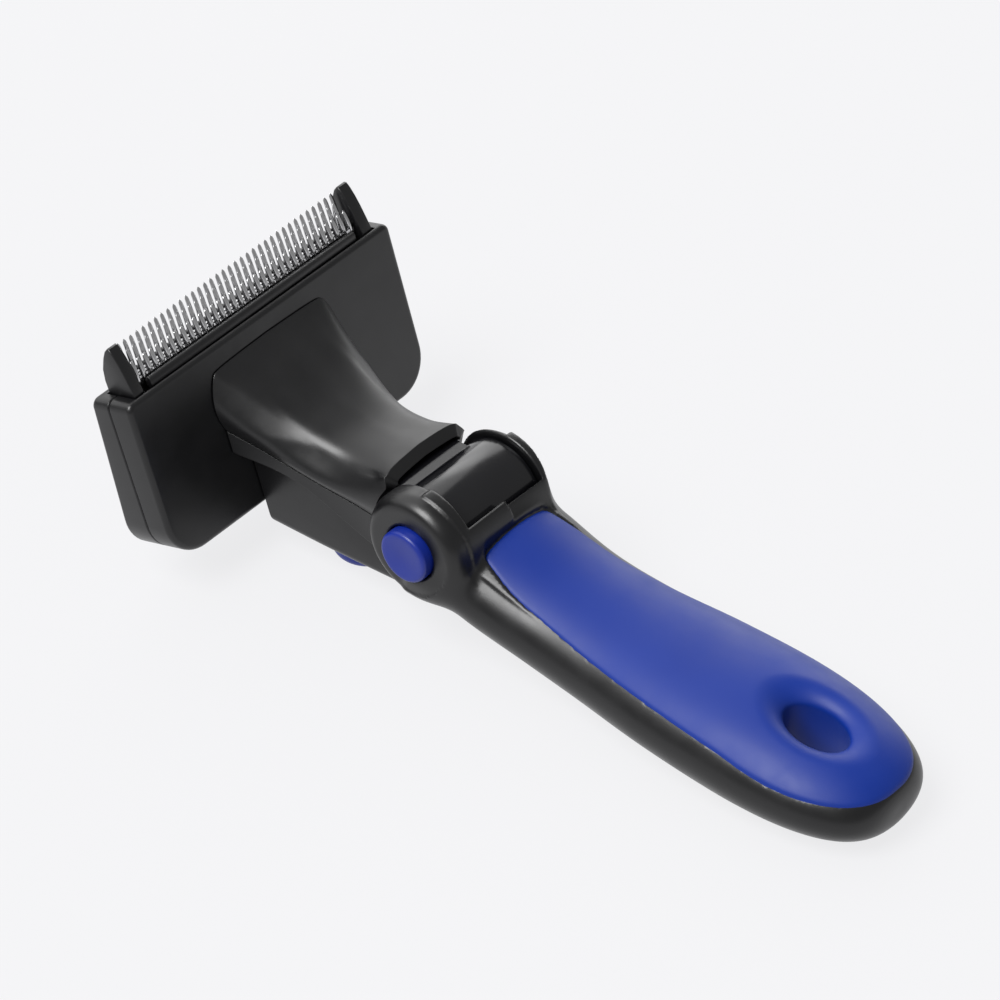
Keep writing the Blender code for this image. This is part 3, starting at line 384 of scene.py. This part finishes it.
def change(obj, other, operation="DIFFERENCE"):
    """Cuts the object by the other one, or joins that one to it, and removes the other."""
    modifier = obj.modifiers.new("change", "BOOLEAN")
    modifier.operation = operation
    modifier.object = other
    modifier.solver = "EXACT"
    settle(obj)
    bpy.data.objects.remove(other)
    return obj


def bevel(obj, width, segments=3, angle=40.0):
    """Rounds the object's sharp edges. The width is in millimetres."""
    modifier = obj.modifiers.new("bevel", "BEVEL")
    modifier.width = width * MM
    modifier.segments = segments
    modifier.limit_method = "ANGLE"
    modifier.angle_limit = math.radians(angle)
    modifier.harden_normals = False
    modifier.use_clamp_overlap = True
    return settle(obj)


def finish_piece(obj, body, slot, *nodes):
    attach(obj, body)
    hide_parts(*nodes)
    return obj


def loft(rings):
    """(points, faces) of the skin over closed rings with equal counts, capped at both ends."""
    count = len(rings[0])
    points = [point for ring in rings for point in ring]
    faces = [tuple(range(count)), tuple(range(len(points) - count, len(points)))]
    for start in range(0, len(points) - count, count):
        for i in range(count):
            j = (i + 1) % count
            faces.append((start + i, start + j, start + count + j, start + count + i))
    return points, faces


def turned(profile, sides=ROUND):
    """Rings round the pivot axis, for a loft: profile is (y, radius) from one end to the other."""
    angles = [2 * math.pi * i / sides for i in range(sides)]
    return [[(r * math.cos(a), y, r * math.sin(a)) for a in angles] for y, r in profile]


def upright(profile, x, y, sides=ROUND):
    """Rings along Z, for a loft: profile is (z, radius)."""
    angles = [2 * math.pi * i / sides for i in range(sides)]
    return [[(x + r * math.cos(a), y + r * math.sin(a), z) for a in angles] for z, r in profile]


def plate_turned(profile, y, up, sides=ROUND):
    """Rings along the head's back direction: profile is (back, radius)."""
    angles = [2 * math.pi * i / sides for i in range(sides)]
    return [
        [on_plate(back, y + radius * math.cos(a), up + radius * math.sin(a)) for a in angles]
        for back, radius in profile
    ]


def block(low, high):
    """Two rings of a box, for a loft."""
    (x0, y0, z0), (x1, y1, z1) = low, high
    return [[(x, y0, z0), (x, y1, z0), (x, y1, z1), (x, y0, z1)] for x in (x0, x1)]


def plate_block(low, high):
    """Two rings of a box that stands along the head's own directions: back, y, up."""
    return [[on_plate(*point) for point in ring] for ring in block(low, high)]


def arc(y, z, radius, start, count=8):
    """A quarter turn, from the angle start, in degrees."""
    angles = [math.radians(start + 90.0 * i / count) for i in range(count + 1)]
    return [(y + radius * math.cos(a), z + radius * math.sin(a)) for a in angles]


def skin(name, field, low, high, step, look):
    """The surface where a signed distance is zero, as an evenly meshed object."""
    sides = [np.arange(a, b + step, step) for a, b in zip(low, high)]
    grid = openvdb.FloatGrid(10.0)
    grid.copyFromArray(field(*np.meshgrid(*sides, indexing="ij")).astype(np.float32))
    points, quads = grid.convertToQuads(0.0)
    points = points.astype(float) * step + np.array([side[0] for side in sides])
    for _ in range(3):
        values, slopes = measure(field, points)
        move = (values / np.maximum((slopes**2).sum(1), 0.2))[:, None] * slopes
        points -= np.clip(move, -0.4 * step, 0.4 * step)
    obj = make_object(name, points, quads.tolist(), look)
    obj.data.shade_smooth()
    return obj


def measure(field, points, nudge=0.02):
    """The field and its slopes at each point."""
    x, y, z = points.T
    slopes = [
        field(x + nudge, y, z) - field(x - nudge, y, z),
        field(x, y + nudge, z) - field(x, y - nudge, z),
        field(x, y, z + nudge) - field(x, y, z - nudge),
    ]
    return field(x, y, z), np.array(slopes).T / (2 * nudge)


# Materials


def add(tree, kind, **settings):
    node = tree.nodes.new(kind)
    for name, value in settings.items():
        setattr(node, name, value)
    return node


def noise(tree, vector, scale, detail=3.0, roughness=0.6):
    node = add(tree, "ShaderNodeTexNoise")
    node.inputs["Scale"].default_value = scale
    node.inputs["Detail"].default_value = detail
    node.inputs["Roughness"].default_value = roughness
    tree.links.new(vector, node.inputs["Vector"])
    return node.outputs["Fac"]


def spread(tree, value, low, high, start=0.3, end=0.7):
    """The value moved from start..end to low..high."""
    node = add(tree, "ShaderNodeMapRange")
    for name, number in (("From Min", start), ("From Max", end), ("To Min", low), ("To Max", high)):
        node.inputs[name].default_value = number
    tree.links.new(value, node.inputs["Value"])
    return node.outputs["Result"]


def mixed(tree, factor, first, second):
    node = add(tree, "ShaderNodeMix", data_type="RGBA")
    node.inputs["A"].default_value = (*first, 1.0)
    node.inputs["B"].default_value = (*second, 1.0)
    tree.links.new(factor, node.inputs["Factor"])
    return node.outputs["Result"]


def start_material(name):
    material = bpy.data.materials.new(name)
    material.use_nodes = True
    tree = material.node_tree
    return material, tree, tree.nodes["Principled BSDF"], add(tree, "ShaderNodeTexCoord").outputs["Object"]


def bump(tree, shader, height, strength, distance, soft_edge=0.0):
    node = add(tree, "ShaderNodeBump")
    node.inputs["Strength"].default_value = strength
    node.inputs["Distance"].default_value = distance * MM
    tree.links.new(height, node.inputs["Height"])
    if soft_edge:
        edge = add(tree, "ShaderNodeBevel", samples=6)
        edge.inputs["Radius"].default_value = soft_edge * MM
        tree.links.new(edge.outputs["Normal"], node.inputs["Normal"])
    tree.links.new(node.outputs["Normal"], shader.inputs["Normal"])


def plastic(name, dark, light, roughness, grain, grain_strength, soft_edge=0.0, specular=0.5):
    """Moulded plastic: a fine spark-eroded grain, with slow changes of colour and gloss."""
    material, tree, shader, where = start_material(name)
    cloud = noise(tree, where, 45.0)
    fine = noise(tree, where, grain, 2.0)
    tree.links.new(mixed(tree, spread(tree, cloud, 0.0, 1.0), dark, light), shader.inputs["Base Color"])
    low, high = roughness
    tree.links.new(spread(tree, noise(tree, where, 160.0), low, high), shader.inputs["Roughness"])
    bump(tree, shader, fine, grain_strength, 0.03, soft_edge)
    shader.inputs["Specular IOR Level"].default_value = specular
    return material


def soft_touch(name, dark, light):
    """Matte rubbery skin with a faint bloom."""
    material, tree, shader, where = start_material(name)
    cloud = noise(tree, where, 30.0)
    tree.links.new(mixed(tree, spread(tree, cloud, 0.0, 1.0), dark, light), shader.inputs["Base Color"])
    tree.links.new(spread(tree, noise(tree, where, 120.0), 0.42, 0.52), shader.inputs["Roughness"])
    shader.inputs["Specular IOR Level"].default_value = 0.3
    shader.inputs["Sheen Weight"].default_value = 0.03
    shader.inputs["Sheen Roughness"].default_value = 0.45
    shader.inputs["Sheen Tint"].default_value = (0.55, 0.65, 1.0, 1.0)
    bump(tree, shader, noise(tree, where, 2600.0, 2.0), 0.12, 0.02)
    return material


def steel(name, color, roughness, brush):
    """Polished or plated steel with fine lines from grinding."""
    material, tree, shader, where = start_material(name)
    stretch = add(tree, "ShaderNodeMapping")
    stretch.inputs["Scale"].default_value = brush
    tree.links.new(where, stretch.inputs["Vector"])
    lines = noise(tree, stretch.outputs["Vector"], 300.0, 4.0)
    shade = tuple(c * 0.86 for c in color)
    tree.links.new(mixed(tree, spread(tree, lines, 0.0, 1.0), shade, color), shader.inputs["Base Color"])
    low, high = roughness
    tree.links.new(spread(tree, lines, low, high), shader.inputs["Roughness"])
    shader.inputs["Metallic"].default_value = 1.0
    bump(tree, shader, lines, 0.1, 0.02)
    return material


# Handle


def make_handle(looks):
    low, high = (-14.2, -20.5, FLOOR - 1.0), (HANDLE_END + 1.0, 20.5, EAR_RADIUS + 1.2)
    shell = skin("handle_body", handle_field, low, high, 0.5, looks["black"])
    finish_piece(shell, "handle", "black_plastic", "handle_shell")
    low, high = (GRIP_FRONT - 1.0, -18.6, FLOOR - 1.0), (GRIP_END + 1.0, 18.6, 3.5)
    grip = skin("soft_grip", grip_field, low, high, 0.5, looks["blue"])
    finish_piece(grip, "handle", "soft_grip", "grip")
    low, high = (COVER_START - 1.0, -9.0, FLOOR - 1.0), (COVER_END + 1.0, 9.0, -14.0)
    cover = skin("underside_cover", cover_field, low, high, 0.4, looks["black"])
    finish_piece(cover, "handle", "black_plastic", "handle_cover")


def round_edge(inner, outer, radius, count=6):
    """(y, radius) points of a quarter round from a flat face at y = outer back to the rim."""
    side = math.copysign(1.0, outer)
    return [
        (outer - side * radius * (1 - math.sin(math.pi / 2 * i / count)),
         inner + radius * math.cos(math.pi / 2 * i / count) - radius)
        for i in range(count + 1)
    ][::-1]


def make_lock_button(looks):
    face = [(-BUTTON_FACE + 0.35, 0.4), (-BUTTON_FACE + 0.25, 2.4), (-BUTTON_FACE + 0.05, 4.4)]
    rim = round_edge(BUTTON_RADIUS, -BUTTON_FACE, 0.9)
    button = make_object("thumb_lock", *loft(turned(face + rim + [(-15.4, BUTTON_RADIUS)])), looks["button"])
    finish_piece(soften(button), "lock", "button_plastic", "lock_button")


def make_pivot_cap(looks):
    steps = ((0.1, 1.0), (0.1, CAP_RADIUS), (0.5, 7.0), (0.6, 6.8), (0.6, 5.6))
    steps += ((1.0, 5.4), (1.1, 5.2), (1.15, 4.0), (1.0, 1.5))
    profile = [(FAR_EAR_OUTSIDE + out, radius) for out, radius in steps]
    # The boss's material is painted reflection: a flat light grey in place of the bright glare on the black boss.
    cap = make_object("far_boss", *loft(turned(profile)), looks["boss"])
    finish_piece(soften(cap), "handle", "boss_plastic", "pivot_cap")


# Neck


def neck_start_x(y, z):
    """The neck's end at the pivot: round the barrel and clear of the ears, with a sloping lip on top."""
    beside = min(max((abs(y) - (EAR_INSIDE - 0.9)) / 0.6, 0.0), 1.0)
    radius = NECK_HINGE_RADIUS + (NECK_EAR_RADIUS - NECK_HINGE_RADIUS) * beside
    if z > NECK_LIP_Z:
        return -math.sqrt(radius**2 - NECK_LIP_Z**2) - (z - NECK_LIP_Z) * 1.05
    return min(-math.sqrt(max(radius**2 - z * z, 0.0)), KEEL_FRONT_X)


def neck_end_x(z):
    """The neck's end at the head, just in front of the plate's face."""
    return PLATE_X + (PLATE_Z - z) * math.tan(TILT) + GAP


def line(start, end, count):
    """Points from start towards end, which is left out."""
    return [tuple(a + (b - a) * i / count for a, b in zip(start, end)) for i in range(count)]


def relaxed(points, passes):
    """The same open line with its corners eased, its ends kept."""
    line_points = np.array(points)
    for _ in range(passes):
        line_points[1:-1] = (line_points[:-2] + 2.0 * line_points[1:-1] + line_points[2:]) / 4.0
    return [tuple(point) for point in line_points]


def top_profile(x, inset):
    """Half of the upper shell's section at x, from the seam up the swelling side to the middle."""
    width, edge = curve(NECK_HALF_WIDTHS, x) - inset, curve(NECK_EDGES, x) - inset
    top, seam = curve(NECK_TOPS, x) - inset, curve(NECK_SEAMS, x)
    radius = max(curve(NECK_SHOULDERS, x) - inset, 0.5)
    side = []
    for t, (y, z) in zip(np.arange(12) / 12, line((width, seam), (edge, top - radius), 12)):
        side.append((y + NECK_SWELL * (1.0 - abs(2.0 * t - 1.0) ** 3), z))
    half = edge - radius
    flat = [(y, top + 0.4 * (1.0 - (y / half) ** 2)) for y in half * np.arange(5, -1, -1) / 6]
    return relaxed(side + arc(edge - radius, top - radius, radius, 0.0) + flat, 14)


def bottom_profile(x, inset):
    """Half of the lower shell's section at x: a flared side, a crease and the keel under it."""
    corner = 2.5
    floor = KEEL_BOTTOM + inset
    width, seam = curve(NECK_HALF_WIDTHS, x) - inset, curve(NECK_SEAMS, x)
    keel = min(curve(KEEL_HALF_WIDTHS, x) - inset, width - 0.1)
    crease = max(curve(NECK_CREASES, x), floor + corner + 1.0 + (width - keel) * 0.8)
    undercut = crease - (width - keel) * 0.8
    side = line((width, seam - GAP), (width - 0.05, crease), 10)
    side += line((width - 0.05, crease), (keel, undercut), 3)
    side += line((keel, undercut), (keel, floor + corner), 3)
    return side + list(reversed(arc(keel - corner, floor + corner, corner, -90.0))) + [(0.0, floor)]


def neck_rings(profile, stations=48):
    """Rings along X of a shell whose section is open towards the seam."""

    def whole(half):
        return half + [(-y, z) for y, z in reversed(half[:-1])]

    rings = []
    for i in range(stations):
        t = i / (stations - 1)
        x = NECK_START + (NECK_END - NECK_START) * t
        section = whole(profile(x, 0.0)) + list(reversed(whole(profile(x, NECK_WALL))))
        starts = [neck_start_x(y, z) for y, z in section]
        rings.append([(x0 + (neck_end_x(z) - x0) * t, y, z) for x0, (y, z) in zip(starts, section)])
    return rings


def neck_shell(profile):
    """(points, faces) of a neck shell, its ends closed by quads from the outer skin to the inner one."""
    rings = neck_rings(profile)
    points, faces = loft(rings)
    count = len(rings[0])
    for start in (0, len(points) - count):
        last = start + count - 1
        for i in range(count // 2 - 1):
            faces.append((start + i, start + i + 1, last - i - 1, last - i))
    return points, faces[2:]


def make_neck(looks):
    top = make_object("neck_top", *neck_shell(top_profile), looks["black"])
    finish_piece(soften(top, 40), "head", "black_plastic", "neck_top_shell")
    bottom = make_object("neck_keel", *neck_shell(bottom_profile), looks["black"])
    slot = []
    for z in (-30.0, -12.0):
        angles = [2 * math.pi * (i + 0.5) / ROUND for i in range(ROUND)]
        wide = FUR_BUTTON_RADIUS + 0.5
        slot.append([(FUR_BUTTON_X - 1.1 + 9.6 * math.cos(a), wide * math.sin(a), z) for a in angles])
    change(bottom, make_object("cut_slot", *loft(slot)))
    for side in (-1, 1):
        profile = ((-25.0, SCREW_HEAD_RADIUS + GAP), (KEEL_BOTTOM + 1.2, SCREW_HEAD_RADIUS + GAP))
        change(bottom, make_object("cut_screw", *loft(upright(profile, NECK_SCREW_X, side * NECK_SCREW_Y))))
    finish_piece(soften(bottom, 40), "head", "black_plastic", "neck_bottom_shell")


def make_barrel(looks):
    end = BARREL_HALF_WIDTH
    rim = round_edge(BARREL_RADIUS, end, 0.4, 4)
    profile = [(-y, r) for y, r in rim] + [(y, r) for y, r in reversed(rim)]
    barrel = make_object("knuckle", *loft(turned(profile, 160)), looks["gloss"])
    tongue = make_object("tongue", *loft(block((-17.0, -9.6, -6.5), (-8.0, 9.6, 6.8))))
    change(barrel, tongue, "UNION")
    wide, narrow = GEAR_RADIUS + 0.4, PIN_RADIUS + 0.06
    bore = loft(turned(((-15.0, wide), (2.0, wide), (2.0, narrow), (15.0, narrow))))
    change(barrel, make_object("bore", *bore))
    finish_piece(soften(barrel), "head", "gloss_black", "hinge_barrel")


# Head


def plate_outline(inset):
    """The plate's outline, (y, up), with rounded corners and sides that close in towards the bottom."""
    corners = (
        (1, -inset, PLATE_TOP_CORNER, PLATE_HALF_WIDTH, 0),
        (-1, -inset, PLATE_TOP_CORNER, PLATE_HALF_WIDTH, 90),
        (-1, inset - PLATE_HEIGHT, PLATE_BOTTOM_CORNER, PLATE_HALF_WIDTH - PLATE_TAPER, 180),
        (1, inset - PLATE_HEIGHT, PLATE_BOTTOM_CORNER, PLATE_HALF_WIDTH - PLATE_TAPER, 270),
    )
    points = []
    for side, edge, radius, half_width, start in corners:
        radius = max(radius - inset, 0.4)
        up = edge - radius if start < 180 else edge + radius
        points += arc(side * (half_width - inset - radius), up, radius, start, 12)
    return points


def plate_ring(back, inset, wedge=0.0):
    """A ring of the plate. wedge is how much further back it stands at the bottom."""
    return [on_plate(back - wedge * up / PLATE_HEIGHT, y, up) for y, up in plate_outline(inset)]


def make_plates(looks):
    edge = [math.radians(90 * i / 6) for i in range(7)]
    front = [plate_ring(1.2 - 1.2 * math.sin(a), 1.2 - 1.2 * math.cos(a)) for a in reversed(edge)]
    front += [plate_ring(PLATE_SEAM - 0.35, 0.0), plate_ring(PLATE_SEAM - 0.1, 0.25)]
    rim = PLATE_THICKNESS - 1.2
    back = [plate_ring(PLATE_SEAM + 0.1, 0.25), plate_ring(PLATE_SEAM + 0.35, 0.0)]
    back += [plate_ring(rim + 1.2 * math.sin(a), 1.2 - 1.2 * math.cos(a), PLATE_WEDGE) for a in edge]
    shells = (("plate_front", front, "head_front_shell"), ("plate_back", back, "head_back_shell"))
    for name, rings, node in shells:
        shell = make_object(name, *loft(rings), looks["black"])
        low, high = (SLOT_FRONT, -SLOT_HALF_LENGTH, -34.0), (SLOT_BACK, SLOT_HALF_LENGTH, 4.0)
        change(shell, make_object("cut_slot", *loft(plate_block(low, high))))
        if node == "head_back_shell":
            for y in (-HEAD_SCREW_Y, HEAD_SCREW_Y):
                for up in HEAD_SCREW_UPS:
                    reach = SCREW_HEAD_RADIUS + GAP
                    ends = (PLATE_THICKNESS - 1.1, PLATE_THICKNESS + PLATE_WEDGE + 1.0)
                    bore = plate_turned([(end, reach) for end in ends], y, up, 48)
                    change(shell, make_object("cut_bore", *loft(bore)))
        finish_piece(soften(shell, 30), "head", "black_plastic", node)


def tooth_rings(y, front, rear, root, tip):
    """One tooth: a rod whose front edge curves back to a rounded tip."""
    rings = []
    for t in np.linspace(0.0, 1.0, 12) ** 0.8:
        blunt = math.sqrt(max(1.0 - max((t - 0.86) / 0.14, 0.0) ** 2, 0.0004))
        edge = front + (rear - front - 0.3) * t**2.6
        deep = (rear - edge) / 2 * blunt
        wide = TOOTH_HALF_WIDTH * (1.0 - 0.12 * t) * blunt
        middle, up = (edge + rear) / 2, root + (tip - root) * t
        ring = []
        for i in range(12):
            a = 2 * math.pi * i / 12
            ring.append(on_plate(middle + deep * math.cos(a), y + wide * math.sin(a), up))
        rings.append(ring)
    return rings


def make_blades(looks):
    half = TOOTH_PITCH * TOOTH_COUNT / 2 - 0.2
    for name, front, rear, tip, shift, count in BLADES:
        root = 1.6
        points, faces = loft(plate_block((front + 0.25, -half, BLADE_FOOT), (rear - 0.15, half, root + 0.4)))
        for i in range(count):
            y = TOOTH_PITCH * (i + 0.5 + shift - TOOTH_COUNT / 2)
            more, skins = loft(tooth_rings(y, front, rear, root, tip))
            faces += [tuple(j + len(points) for j in face) for face in skins]
            points = points + more
        blade = make_object(name + "_teeth", points, faces, looks["steel"])
        finish_piece(soften(blade, 50), "head", "teeth_steel", name)


def plate_extrusion(outline, start, end):
    """Rings of an outline, (back, up), drawn along the row of teeth."""
    return [[on_plate(back, y, up) for back, up in outline] for y in (start, end)]


def make_guards(looks):
    fin = [(9.4, 0.3), (9.6, 3.0), (9.2, 5.8), (8.0, 8.6), (6.9, 10.4), (5.9, 11.2)]
    fin += [(5.3, 11.1), (4.6, 10.0), (3.7, 8.0), (2.9, 5.6), (2.2, 3.0), (1.5, 0.3)]
    foot = [(1.5, -1.0), (2.2, -1.0), (2.2, -8.5), (7.2, -8.5), (7.2, -1.0), (9.4, -1.0)]
    for name, side in (("left", -1), ("right", 1)):
        rings = plate_extrusion(fin + foot, side * GUARD_INSIDE, side * GUARD_OUTSIDE)
        guard = bevel(make_object(f"guard_{name}", *loft(rings), looks["black"]), 0.3, 3, 50)
        finish_piece(soften(guard), "head", "black_plastic", f"skin_guard_{name}")


def make_ejector(looks):
    front_bar = [(1.8, -0.2), (1.3, -0.2), (1.3, 1.3), (1.5, 1.8), (1.9, 2.1)]
    front_bar += [(2.4, 2.1), (2.8, 1.8), (3.0, 1.3), (3.0, -0.3)]
    tray = [(2.6, -0.3), (2.6, FRAME_FLOOR + 2.0), (8.9, FRAME_FLOOR + 2.0), (8.9, -0.8)]
    back_bar = [(8.0, -0.8), (8.0, 1.3), (8.2, 1.8), (8.6, 2.0), (9.0, 2.0), (9.4, 1.8), (9.6, 1.3)]
    floor = [(9.6, FRAME_FLOOR), (1.8, FRAME_FLOOR)]
    rings = plate_extrusion(front_bar + tray + back_bar + floor, -FRAME_HALF_WIDTH, FRAME_HALF_WIDTH)
    bars = bevel(make_object("ejector_bars", *loft(rings), looks["black"]), 0.2, 2, 50)
    finish_piece(soften(bars), "ejector", "black_plastic", "ejector_frame")


def make_fur_button(looks):
    low, radius = FLOOR, FUR_BUTTON_RADIUS
    edge = [math.radians(90 * i / 8) for i in range(9)]
    profile = [(low + 0.2, 1.0), (low + 0.05, radius - 3.6)]
    profile += [(low + 2.2 - 2.2 * math.cos(a), radius - 2.2 + 2.2 * math.sin(a)) for a in edge]
    rings = upright(profile + [(-14.3, radius)], FUR_BUTTON_X, 0.0)
    button = make_object("fur_key", *loft(rings), looks["button"])
    finish_piece(soften(button), "ejector", "button_plastic", "fur_button")


# The studio


def make_floor():
    side = 3.0
    mesh = bpy.data.meshes.new("floor")
    corners = [(-side, -side, 0), (side, -side, 0), (side, side, 0), (-side, side, 0)]
    mesh.from_pydata(corners, [], [(0, 1, 2, 3)])
    floor = bpy.data.objects.new("floor", mesh)
    bpy.context.scene.collection.objects.link(floor)
    material, tree, shader, where = start_material("pale_floor")
    tone = spread(tree, noise(tree, where, 3.0), 0.0, 1.0)
    color = mixed(tree, tone, (0.064, 0.064, 0.066), (0.067, 0.067, 0.069))
    tree.links.new(color, shader.inputs["Base Color"])
    shader.inputs["Roughness"].default_value = 0.9
    shader.inputs["Specular IOR Level"].default_value = 0.0
    shader.inputs["Emission Color"].default_value = (0.985, 0.985, 1.0, 1.0)
    shader.inputs["Emission Strength"].default_value = 0.81
    mesh.materials.append(material)


def make_sky_light(name, direction, width_degrees, strength):
    """A very wide far light, which lights the whole floor evenly."""
    light = bpy.data.lights.new(name, "SUN")
    light.angle = math.radians(width_degrees)
    light.energy = strength
    obj = bpy.data.objects.new(name, light)
    obj.rotation_euler = Vector(direction).to_track_quat("Z", "Y").to_euler()
    bpy.context.scene.collection.objects.link(obj)


def make_studio():
    world = bpy.data.worlds.new("studio")
    world.use_nodes = True
    world.node_tree.nodes["Background"].inputs["Color"].default_value = (1.0, 1.0, 1.0, 1.0)
    world.node_tree.nodes["Background"].inputs["Strength"].default_value = 0.35
    bpy.context.scene.world = world
    make_sky_light("front_key", (-0.12, -0.55, 0.82), 36.0, 4.0)
    make_sky_light("left_key", (-0.75, 0.10, 0.62), 70.0, 1.3)
    make_sky_light("back_rim", (-0.48, 0.84, 0.26), 50.0, 1.2)
    bpy.context.scene.view_settings.view_transform = "Standard"


# The camera, as an angle round the tool, a height angle, a distance from the pivot and where the pivot shows
AZIMUTH = math.radians(40.01)
ELEVATION = math.radians(40.17)
DISTANCE = 1.32886
FOCAL = 6.25195  # in picture widths
PIVOT_RIGHT = -0.03206  # of the picture's width, from its middle
PIVOT_DOWN = 0.00814


def make_camera():
    back = Vector(
        (
            math.sin(AZIMUTH) * math.cos(ELEVATION),
            -math.cos(AZIMUTH) * math.cos(ELEVATION),
            math.sin(ELEVATION),
        )
    )
    right = Vector((math.cos(AZIMUTH), math.sin(AZIMUTH), 0.0))
    up = back.cross(right)
    camera = bpy.data.cameras.new("camera")
    camera.sensor_width = 36.0
    camera.lens = FOCAL * camera.sensor_width
    camera.clip_end = 20.0
    obj = bpy.data.objects.new("camera", camera)
    shift = DISTANCE / FOCAL
    place_m = PIVOT + back * DISTANCE - right * PIVOT_RIGHT * shift + up * PIVOT_DOWN * shift
    turn = Matrix((right, up, back)).transposed().to_4x4()
    obj.matrix_world = Matrix.Translation(place_m) @ turn
    bpy.context.scene.collection.objects.link(obj)
    bpy.context.scene.camera = obj


def make_looks():
    return {
        "black": plastic(
            "satin_black", (0.002, 0.002, 0.0025), (0.0035, 0.0035, 0.004), (0.30, 0.38), 2200.0, 0.2, 0.2
        ),
        "gloss": plastic(
            "gloss_black", (0.003, 0.003, 0.004), (0.005, 0.005, 0.006), (0.14, 0.20), 700.0, 0.05
        ),
        # Painted reflection: this grey stands in for the bright grazing glare on the far boss's black dome, not
        # its own colour.
        "boss": plastic("boss_painted_reflection", (0.16, 0.16, 0.16), (0.20, 0.20, 0.20), (0.30, 0.38), 1500.0, 0.15),
        "button": plastic(
            "button_blue", (0.003, 0.014, 0.18), (0.004, 0.018, 0.21), (0.34, 0.42), 1800.0, 0.12, 0.0, 0.4
        ),
        "blue": soft_touch("soft_blue", (0.001, 0.018, 0.18), (0.0015, 0.021, 0.20)),
        "nylon": plastic("inner_nylon", (0.16, 0.16, 0.16), (0.22, 0.22, 0.21), (0.45, 0.55), 1200.0, 0.2),
        "steel": steel("teeth_steel", (0.64, 0.64, 0.65), (0.14, 0.22), (1.0, 1.0, 0.05)),
        "screw": steel("plated_steel", (0.50, 0.50, 0.51), (0.25, 0.38), (1.0, 1.0, 1.0)),
    }


def paint_cad(looks):
    """Gives the CAD nodes that stay in view their materials."""
    slots = {"inner_plastic": "nylon", "screws": "screw", "springs": "screw", "black_plastic": "black"}
    for subpart in frame["record"]["subparts"]:
        node = frame["nodes"][subpart["node"]]
        look = slots.get(subpart["material_slot"])
        if look and not node.hide_render:
            node.data.materials.clear()
            node.data.materials.append(looks[look])


make_camera()
make_studio()
make_floor()
looks = make_looks()
make_handle(looks)
make_lock_button(looks)
make_pivot_cap(looks)
make_neck(looks)
make_barrel(looks)
make_plates(looks)
make_blades(looks)
make_guards(looks)
make_ejector(looks)
make_fur_button(looks)
paint_cad(looks)

bpy.context.view_layer.update()
